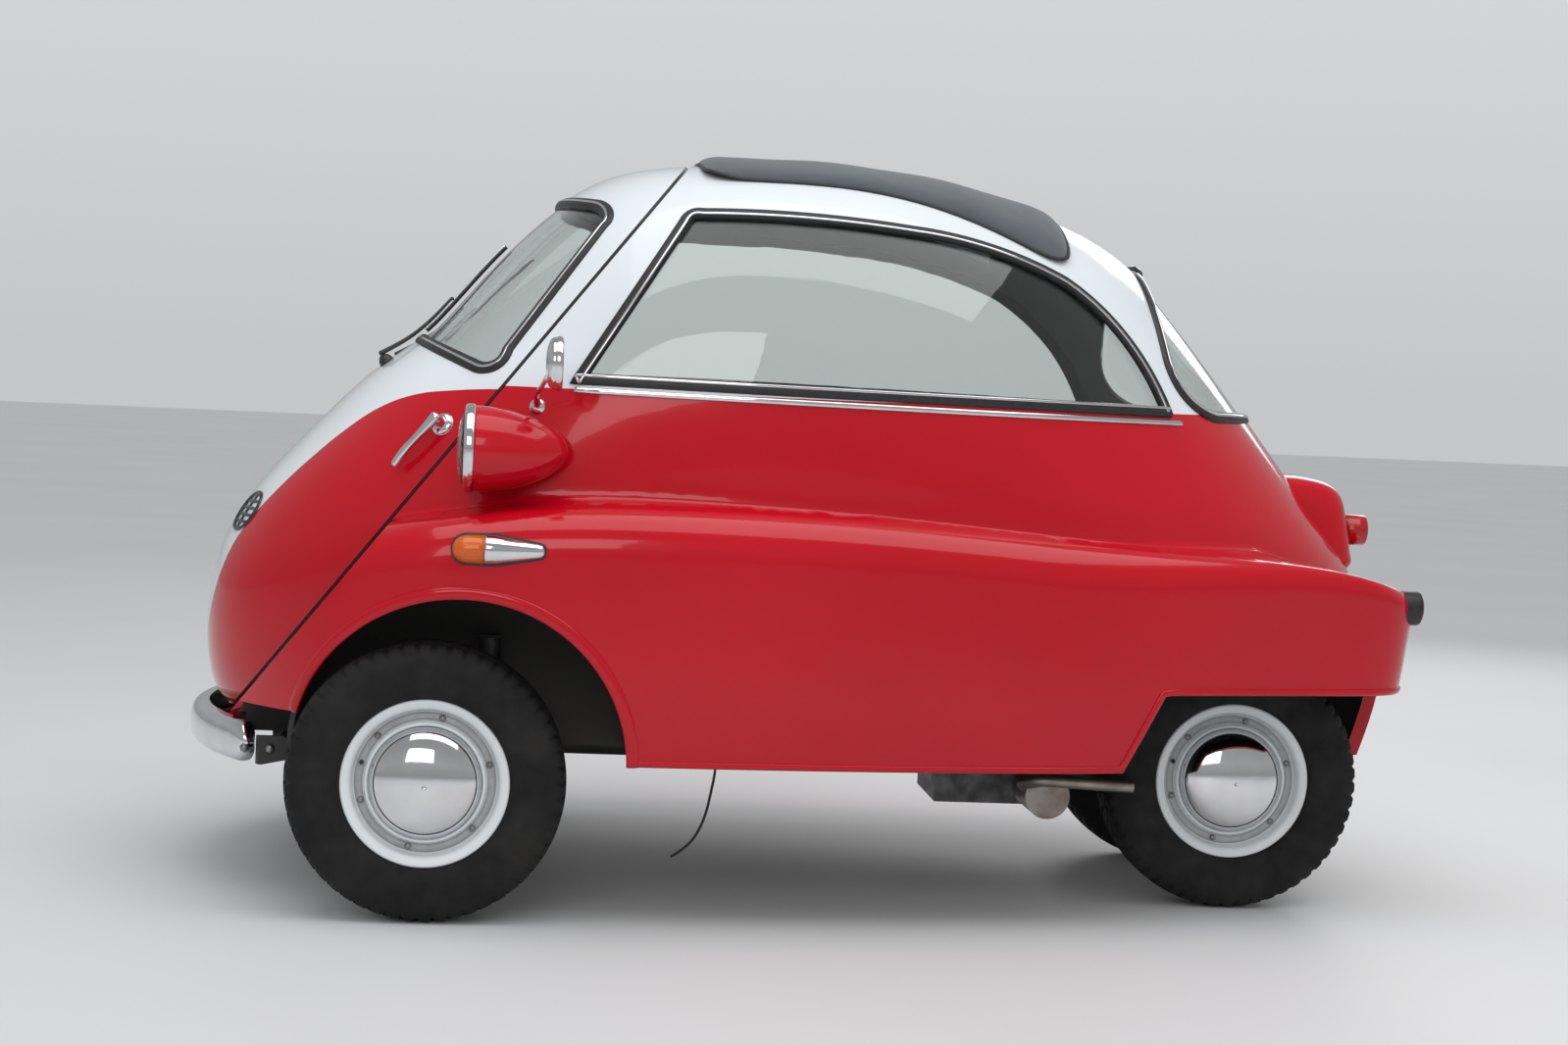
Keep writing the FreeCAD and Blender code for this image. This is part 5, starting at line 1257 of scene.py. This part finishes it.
escutcheon = nose_point(-469.0, 857.0)
outwards = skin_normals(escutcheon, cabin_gap)
knuckle = escutcheon + 24 * outwards
handle_tip = nose_point(-462.0, 778.0, 20.0)
plate = revolved(np.vstack([[(0.01, -2), (21, -2), (21, 1)], bulge(1, 9, 20.5, 2.4, 12)]), escutcheon, outwards, 48)
boss = tube(np.linspace(escutcheon, knuckle, 8), np.linspace(12, 10, 8), 24)
lever = curve_through([knuckle - [0, 0, -4], knuckle + 0.35 * (handle_tip - knuckle) + 6 * outwards,
                       knuckle + 0.75 * (handle_tip - knuckle) + 6 * outwards, handle_tip], 40)
lever = tube(lever, swelling([11, 8.5, 7.2, 8.2, 8.6], 40), 20, side=(0.3, 1, 0.1))
finish_piece(joined("handle_chrome", [plate, boss, lever]), "door", "bright_chrome", chrome, "door_handle")
print("mirror foot", mirror_foot.round(), "handle", escutcheon.round(), handle_tip.round())

# %% [markdown]
# Two wipers lean on the windscreen. Each has a turned pivot on a small foot, a thin arm, and a blade whose
# backbone and rubber follow the screen's own curve, because every point of it is found on the skin.

# %% Wipers
WIPER_Z, WIPER_RISE, WIPER_LEAN = 962.0, 225.0, 70.0


def wiper(y, lean):
    base = nose_point(y, WIPER_Z)
    out = skin_normals(base, cabin_gap)
    foot = revolved(np.vstack([[(0.01, -2), (15, -2)], bulge(1, 17, 14, 1.7, 14)]), base, out, 32)
    knob = base + 20 * out
    along = [nose_point(y + lean * t, WIPER_Z + WIPER_RISE * t, 15 - 2 * t) for t in (0.18, 0.36, 0.52)]
    arm = tube(curve_through([knob, *along], 24), np.linspace(4.6, 2.6, 24), 12, side=(0.2, 1, 0))
    track = np.array([nose_point(y + lean * t, WIPER_Z + WIPER_RISE * t) for t in np.linspace(0.26, 1.0, 14)])
    track = curve_through(track, 48)
    normals = skin_normals(track, cabin_gap)
    spine = swept(track + 8.5 * normals, rounded_bar(2.6, 2.0, 0, 0, 3, 12), normals)
    blade = swept(track + 4.2 * normals, [(-2.2, 3), (2.2, 3), (1.6, 0), (0.5, -3.4), (-0.5, -3.4), (-1.6, 0)], normals)
    claw = tube(np.array([along[2] - 1.0 * out, along[2] - 5.5 * out]), 3.2, 12, side=(0.2, 1, 0))
    return [foot, arm, claw], [spine], [blade]


arms, spines, blades = [], [], []
for y in (-150.0, 210.0):
    first, second, third = wiper(y, WIPER_LEAN)
    arms, spines, blades = arms + first, spines + second, blades + third
finish_piece(joined("wiper_arms", arms), "door", "black_plastic", black_paint, "wipers")
finish_piece(joined("wiper_spines", spines), "door", "bright_chrome", chrome)
finish_piece(joined("wiper_blades", blades), "door", "black_rubber", rubber)
print("wipers lean", WIPER_LEAN, "mm over", WIPER_RISE)

# %% [markdown]
# Air enters the cabin through two oval grilles on the nose. An oval is a polar grid laid on the skin: its lift is
# a low dome with a rolled rim, and two columns of five slots are sunk into it by the same groove mask as the tread.

# %% Vent grilles
VENT_Y, VENT_Z, VENT_HALF, VENT_HIGH = 200.0, 675.0, 50.0, 38.0


def vent_oval(turns=120):
    """Lift = rim + dome - slots over share of the radius and turn."""
    share = np.concatenate([np.linspace(0, 0.9, 46), np.linspace(0.92, 1.0, 8)])[:, None]
    turn = np.linspace(0, 2 * np.pi, turns, endpoint=False)[None]
    a, b = VENT_HALF * share * np.cos(turn), VENT_HIGH * share * np.sin(turn)
    pitch = 12.5
    row = np.abs((b / pitch + 0.5) % 1 - 0.5) * pitch
    inside = np.clip((0.84 - share) / 0.03, 0, 1) * (np.abs(b) < 2.5 * pitch)
    slot_mask = groove(row, 3.6) * groove(np.abs(np.abs(a) - 21), 16.5) * inside
    rim = 2.6 * np.exp(-((share - 0.93) / 0.05) ** 2)
    lift = np.where(share > 0.985, -2.0, 1.6 + rim + 0.9 * (1 - share ** 2)) - 4.4 * slot_mask
    y, z = -VENT_Y + a, VENT_Z + b
    x = nose_x(y, z)
    place = np.stack([x, y, z], -1).reshape(-1, 3)
    points = place + lift.reshape(-1, 1) * skin_normals(place, cabin_gap)
    return points, grid_faces(share.shape[0], turns, False, True)


def slat_finish():
    f = Finish("vent_black", Metallic=0.3, Coat_Weight=0.3)
    f.mixed(f.mapped(f.noise(60), 0.3, 0.7, 0, 1), (0.018, 0.018, 0.019), (0.035, 0.034, 0.033))
    f.link(f.mapped(f.noise(90), 0.3, 0.7, 0.25, 0.4), f.shader.inputs["Roughness"])
    return f.material


vent = vent_oval()
finish_piece(joined("vent_ovals", both_sides(vent)), "door", "black_plastic", slat_finish(), "vent_grilles")
print("vents at half width", VENT_Y)

# %% [markdown]
# The roof panel is cloth, stretched over three bows. It is a sheet of one surface over the roof: its lift falls to
# the roof at the rim by a superellipse, and it sags a little between the bows, so light breaks on it as on cloth.

# %% Folding roof
ROOF_X, ROOF_HALF, ROOF_LIFT, ROOF_GRID = (455.0, 1140.0), 372.0, 16.0, 121


def roof_sheet():
    """Lift = 1.5 + 14.2 ((1 - |u|^26)(1 - |v|^26))^0.6 less 2.6 sin^2 between bows, and a low roll in front."""
    u, v = np.linspace(-1, 1, ROOF_GRID)[:, None], np.linspace(-1, 1, ROOF_GRID)[None]
    u, v = np.sin(u * np.pi / 2), np.sin(v * np.pi / 2)
    corner = np.clip((np.abs(u) ** 14 + np.abs(v) ** 14), 1, None) ** (-1 / 14)
    x = (ROOF_X[0] + ROOF_X[1]) / 2 + (ROOF_X[1] - ROOF_X[0]) / 2 * u * corner
    y = ROOF_HALF * v * corner
    edge = (1 - np.abs(u * corner) ** 26) * (1 - np.abs(v * corner) ** 26)
    bows = np.sin(np.clip((x - 480) / 640, 0, 1) * np.pi * 3) ** 2
    sag = 2.6 * bows * (1 - (y / ROOF_HALF) ** 2) * np.clip(edge * 3, 0, 1)
    front = 3.0 * np.exp(-((x - 478) / 18) ** 2)
    lift = 1.5 + (ROOF_LIFT - 1.8) * np.clip(edge, 0, 1) ** 0.6 - sag + np.minimum(front, 1.4)
    z = roof_z(x, y) + lift
    return np.stack([x + 0 * v, y + 0 * u, z], -1)


def canvas():
    """Blue grey cloth: warp and weft as two waves, faded in soft patches, matt with a little sheen."""
    f = Finish("roof_canvas", Metallic=0.0, Sheen_Weight=0.25, Sheen_Roughness=0.5)
    f.mixed(f.mapped(f.noise(7, 6), 0.3, 0.7, 0, 1), (0.040, 0.052, 0.066), (0.058, 0.072, 0.088))
    f.link(f.mapped(f.noise(40), 0.3, 0.7, 0.75, 0.92), f.shader.inputs["Roughness"])
    warp = f.node("TexWave", wave_type="BANDS", bands_direction="X", Scale=170.0, Distortion=0.4)
    weft = f.node("TexWave", wave_type="BANDS", bands_direction="Y", Scale=170.0, Distortion=0.4)
    both = f.node("Math", operation="MULTIPLY")
    place_of_cloth = f.place()
    for wave, socket in ((warp, 0), (weft, 1)):
        f.link(place_of_cloth, wave.inputs["Vector"])
        f.link(wave.outputs["Fac"], both.inputs[socket])
    f.bump(both.outputs[0], 0.5, 0.0008)
    return f.material


roof_canvas = canvas()
cloth = roof_sheet()
cloth_piece = joined("roof_cloth", [(cloth.reshape(-1, 3), grid_faces(ROOF_GRID, ROOF_GRID))])
finish_piece(cloth_piece, "body", "roof_cloth", roof_canvas, "folding_roof")
rim_line = even(np.vstack([cloth[:, 0], cloth[-1], cloth[::-1, -1], cloth[0, ::-1]]), 360, True)
rim_normals = smooth_rows(skin_normals(rim_line, cabin_gap), 20)
rim_bar = swept(rim_line, rounded_bar(4.0, 2.4, 0, 1.0, 2.2, 12), rim_normals, True)
roof_hem = finish_piece(joined("roof_hem", [rim_bar]), "body", "black_rubber", rubber)

# %% [markdown]
# The bench is foam under ribbed cloth. A pad starts as a closed superellipsoid a little smaller than its CAD block,
# is remeshed evenly, and blown up by cloth simulation with pressure. The sewn channels come after, as grooves.

# %% Seat pads


def pad_shape(half, power=6.0, rows=40, cols=80):
    """|x|^n + |y|^n + |z|^n = 1 scaled by half sizes, drawn with signed powers of sine and cosine."""
    a = np.linspace(-np.pi / 2, np.pi / 2, rows)[:, None]
    b = np.linspace(0, 2 * np.pi, cols, endpoint=False)[None]
    ca, sa, cb, sb = np.cos(a), np.sin(a), np.cos(b), np.sin(b)

    def signed(v):
        return np.sign(v) * np.abs(v) ** (2 / power)
    points = np.stack([signed(ca) * signed(cb), signed(ca) * signed(sb), signed(sa) + 0 * cb], -1)
    return (points * np.asarray(half, float)).reshape(-1, 3), grid_faces(rows, cols, False, True)


def blown(thing, cap_mm, voxel=0.008):
    """Remesh, blow up as cloth under pressure, cap each point's move, and put the result in the mesh."""
    change = thing.modifiers.new("even", "REMESH")
    change.mode = "VOXEL"
    change.voxel_size = voxel
    look = bpy.context.evaluated_depsgraph_get()
    thing.data = bpy.data.meshes.new_from_object(thing.evaluated_get(look))
    thing.modifiers.clear()
    start = mesh_array(thing.data.vertices, "co", 3)
    cloth_change = thing.modifiers.new("blow", "CLOTH")
    settings = cloth_change.settings
    settings.use_pressure = True
    settings.uniform_pressure_force = 4.0
    settings.quality = 4
    settings.effector_weights.gravity = 0.0
    cloth_change.point_cache.frame_end = 20
    for step in range(1, 21):
        bpy.context.scene.frame_set(step)
    look = bpy.context.evaluated_depsgraph_get()
    end = mesh_array(thing.evaluated_get(look).data.vertices, "co", 3)
    thing.modifiers.clear()
    bpy.context.scene.frame_set(1)
    move = end - start
    far = np.linalg.norm(move, axis=1, keepdims=True)
    start = start + move * np.minimum(1, cap_mm / 1000 / np.maximum(far, 1e-9))
    thing.data.vertices.foreach_set("co", start.ravel())
    return thing


def sewn(thing, channels, depth_mm, axis=1):
    """Sinks channels across the pad: depth exp(-(distance / 7 mm)^2) along each point's own normal."""
    thing.data.update()
    points = mesh_array(thing.data.vertices, "co", 3)
    normals = mesh_array(thing.data.vertices, "normal", 3)
    distance = np.abs(points[:, axis, None] * 1000 - np.asarray(channels)[None]).min(1)
    sink = depth_mm * np.exp(-(distance / 7.0) ** 2) * np.abs(normals[:, [0, 2]]).max(1)
    thing.data.vertices.foreach_set("co", (points - normals * sink[:, None] / 1000).ravel())
    finer = thing.modifiers.new("finer", "SUBSURF")
    finer.levels = finer.render_levels = 1
    thing.data.polygons.foreach_set("use_smooth", np.ones(len(thing.data.polygons), bool))
    return thing


def seat_weave():
    """Ribbed grey cloth: fine ribs along the car, flecks of a lighter thread."""
    f = Finish("seat_weave", Metallic=0.0, Sheen_Weight=0.2, Sheen_Roughness=0.5)
    f.mixed(f.mapped(f.noise(420, 2), 0.45, 0.62, 0, 1), (0.10, 0.095, 0.09), (0.22, 0.205, 0.19))
    f.link(f.mapped(f.noise(60), 0.3, 0.7, 0.8, 0.95), f.shader.inputs["Roughness"])
    rib = f.node("TexWave", wave_type="BANDS", bands_direction="Y", Scale=60.0, Distortion=0.3)
    f.link(f.place(), rib.inputs["Vector"])
    f.bump(rib.outputs["Fac"], 0.4, 0.001)
    return f.material


seat_fabric = seat_weave()
CHANNELS = np.arange(-420, 421, 84.0)


def pad(name, half, node, place):
    points, faces = pad_shape(half)
    thing = mesh_object(name, points @ place[:3, :3].T + place[:3, 3], faces)
    outward(thing)
    blown(thing, 10.0)
    sewn(thing, CHANNELS, 6.0)
    finish_piece(thing, "body", "seat_cloth", seat_fabric, node)
    return thing


cushion_place = np.eye(4)
cushion_place[:3, 3] = (705, 0, 490)
pad("seat_pad", (228, 478, 53), "seat_cushion", cushion_place)
lean = math.radians(6)
back_place = np.eye(4)
back_place[:3, :3] = [[math.cos(lean), 0, math.sin(lean)], [0, 1, 0], [-math.sin(lean), 0, math.cos(lean)]]
back_place[:3, 3] = np.array([942, 0, 547.3]) + back_place[:3, :3] @ np.array([-40, 0, 175])
pad("backrest_pad", (34, 463, 168), "seat_backrest", back_place)
print("pads with", len(CHANNELS), "channels")

# %% [markdown]
# Behind the windscreen stands the steering wheel with its thin ivory rim. It is a torus for the rim, a boss turned
# from a profile and three tapered bars between them, all about the line of the column.

# %% Steering wheel
HUB, WHEEL_R, WHEEL_BAR = np.array([300.0, 270.0, 830.0]), 190.0, 11.0
COLUMN = HUB - np.array([-230.0, 270.0, 345.0])
COLUMN = COLUMN / np.linalg.norm(COLUMN)
ivory = plain("ivory", (0.62, 0.57, 0.45), (0.55, 0.50, 0.38), 0.25, 0.0, 30, 0.03, Coat_Weight=0.3)
black_vinyl = plain("black_vinyl", (0.03, 0.03, 0.031), (0.05, 0.049, 0.047), 0.5, 0.0, 260, 0.25)
t = np.linspace(0, 2 * np.pi, 20, endpoint=False)
rim_profile = np.column_stack([WHEEL_R + WHEEL_BAR * np.cos(t), WHEEL_BAR * np.sin(t)])
wheel_shapes = [revolved(rim_profile, HUB, COLUMN, 144, True),
                revolved(np.vstack([[(0.01, -33), (26, -33), (28, -28), (28, 0)], bulge(2, 12, 27, 2.4, 14)]),
                         HUB, COLUMN, 48)]
across = np.cross(np.array([0.0, 1.0, 0.0]), COLUMN)
for turn in np.radians([90, 210, 330]):
    direction = across * math.cos(turn) + np.cross(COLUMN, across) * math.sin(turn)
    bar = np.array([HUB - COLUMN * 6 + direction * r for r in np.linspace(20, WHEEL_R, 12)])
    wheel_shapes.append(tube(bar, np.linspace(8.5, 6, 12), 14, side=tuple(COLUMN)))
finish_piece(joined("steering_rim", wheel_shapes), "steering", "ivory_plastic", ivory, "steering_wheel")
print("steering wheel at", HUB)

# %% [markdown]
# What the CAD already shapes well keeps its solids and only gets a finish: the running gear, the hinges and the
# bare metal of the cabin.

# %% Finishes of the CAD pieces that stay
floor_mat = plain("floor_mat", (0.030, 0.029, 0.028), (0.045, 0.043, 0.04), 0.85, 0.0, 200, 0.3)
bare_steel = plain("bare_steel", (0.30, 0.295, 0.29), (0.20, 0.19, 0.18), 0.45, 0.9, 60, 0.1)
exhaust_steel = plain("exhaust_steel", (0.42, 0.41, 0.39), (0.25, 0.20, 0.16), 0.38, 1.0, 22, 0.1)
STAYS = {black_paint: ["chassis_frame", "front_axle", "rear_axle_casing", "bumper_brackets", "seat_frame",
                       "steering_box", "pedals", "steering_column"],
         underside: ["wheelhouses"], floor_mat: ["floor_pan"], lining: ["rear_bulkhead"], black_vinyl: ["dashboard"],
         steel: ["knuckle_left", "knuckle_right", "tie_rod", "rear_axle_shaft"], bare_steel: ["hand_levers"],
         chrome: ["lid_hinges", "door_hinges", "hinge_posts"], engine_metal: ["engine"], exhaust_steel: ["exhaust"],
         rubber: ["cable_grommet"]}
for material, nodes in STAYS.items():
    for node in nodes:
        for place_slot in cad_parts[node].material_slots:
            place_slot.link = "OBJECT"
            place_slot.material = material
print("CAD pieces kept:", sum(len(nodes) for nodes in STAYS.values()))

# %% [markdown]
# A plain pale floor and soft studio light: one wide lamp overhead draws the long highlight down the shoulder, two
# weaker ones stand behind the camera and behind the car, and the world is a pale backdrop for mirrors and glass.

# %% Floor, lamps and world
floor_finish = Finish("studio_floor", Metallic=0.0, Roughness=0.6)
floor_finish.mixed(floor_finish.mapped(floor_finish.noise(0.8), 0.3, 0.7, 0, 1), (0.66, 0.665, 0.67),
                   (0.63, 0.635, 0.64))
size = 40000.0
floor = mesh_object("studio_ground", [(AXLE - size, -size, 0), (AXLE + size, -size, 0), (AXLE + size, size, 0),
                                      (AXLE - size, size, 0)], [[0, 1, 2, 3]])
floor.data.materials.append(floor_finish.material)


def soft_lamp(name, place, target, size, energy):
    lamp = bpy.data.lights.new(name, "AREA")
    lamp.shape = "RECTANGLE"
    lamp.size, lamp.size_y = size
    lamp.energy = energy
    thing = bpy.data.objects.new(name, lamp)
    back = np.asarray(place, float) - np.asarray(target, float)
    back /= np.linalg.norm(back)
    side = np.cross([0.02, 1, 0.01] if abs(back[2]) > 0.9 else [0, 0, 1], back)
    side /= np.linalg.norm(side)
    turn = np.eye(4)
    turn[:3, 0], turn[:3, 1], turn[:3, 2], turn[:3, 3] = side, np.cross(back, side), back, place
    thing.matrix_world = Matrix(turn.tolist())
    bpy.context.scene.collection.objects.link(thing)
    return thing


soft_lamp("overhead", (0.2, -1.2, 4.2), (0, 0, 0.8), (5.0, 3.2), 95)
soft_lamp("behind_camera", (-1.5, -6.5, 3.2), (0, 0, 0.7), (3.5, 2.2), 60)
soft_lamp("from_behind", (2.5, 5.0, 3.0), (0, 0, 0.8), (3.5, 2.2), 60)

world = bpy.data.worlds.new("studio")
bpy.context.scene.world = world
world.use_nodes = True
tree = world.node_tree
backdrop = tree.nodes["Background"]
up_down = tree.nodes.new("ShaderNodeSeparateXYZ")
tree.links.new(tree.nodes.new("ShaderNodeTexCoord").outputs["Generated"], up_down.inputs[0])
shades = tree.nodes.new("ShaderNodeValToRGB")
raise_it = tree.nodes.new("ShaderNodeMapRange")
raise_it.inputs["From Min"].default_value = -1.0
tree.links.new(up_down.outputs["Z"], raise_it.inputs["Value"])
tree.links.new(raise_it.outputs["Result"], shades.inputs["Fac"])
ramp = shades.color_ramp
ramp.elements[0].position, ramp.elements[0].color = 0.0, (0.6, 0.6, 0.6, 1)
ramp.elements[1].position, ramp.elements[1].color = 1.0, (0.55, 0.57, 0.59, 1)
for position, shade in ((0.5, 0.56), (0.54, 0.62), (0.62, 0.72), (0.8, 0.62)):
    step = ramp.elements.new(position)
    step.color = (shade, shade * 1.01, shade * 1.02, 1)
tree.links.new(shades.outputs["Color"], backdrop.inputs["Color"])


def sum_of(operation, a, b, c=None):
    made = tree.nodes.new("ShaderNodeMath")
    made.operation = operation
    for socket, value in zip(made.inputs, (a, b, c)):
        if hasattr(value, "links"):
            tree.links.new(value, socket)
        elif value is not None:
            socket.default_value = value
    return made.outputs[0]


rays = tree.nodes.new("ShaderNodeLightPath").outputs
straight_on = sum_of("MAXIMUM", rays["Is Camera Ray"], rays["Is Transmission Ray"])
mirrored_ray = sum_of("SUBTRACT", rays["Is Glossy Ray"], sum_of("MINIMUM", straight_on, 1.0))
mirror_share = sum_of("MAXIMUM", mirrored_ray, 0.0)
level = sum_of("MULTIPLY_ADD", straight_on, -0.15, sum_of("MULTIPLY_ADD", mirror_share, -0.6, 1.15))
tree.links.new(level, backdrop.inputs["Strength"])
bpy.context.scene.view_settings.view_transform = "Standard"
print("studio ready")
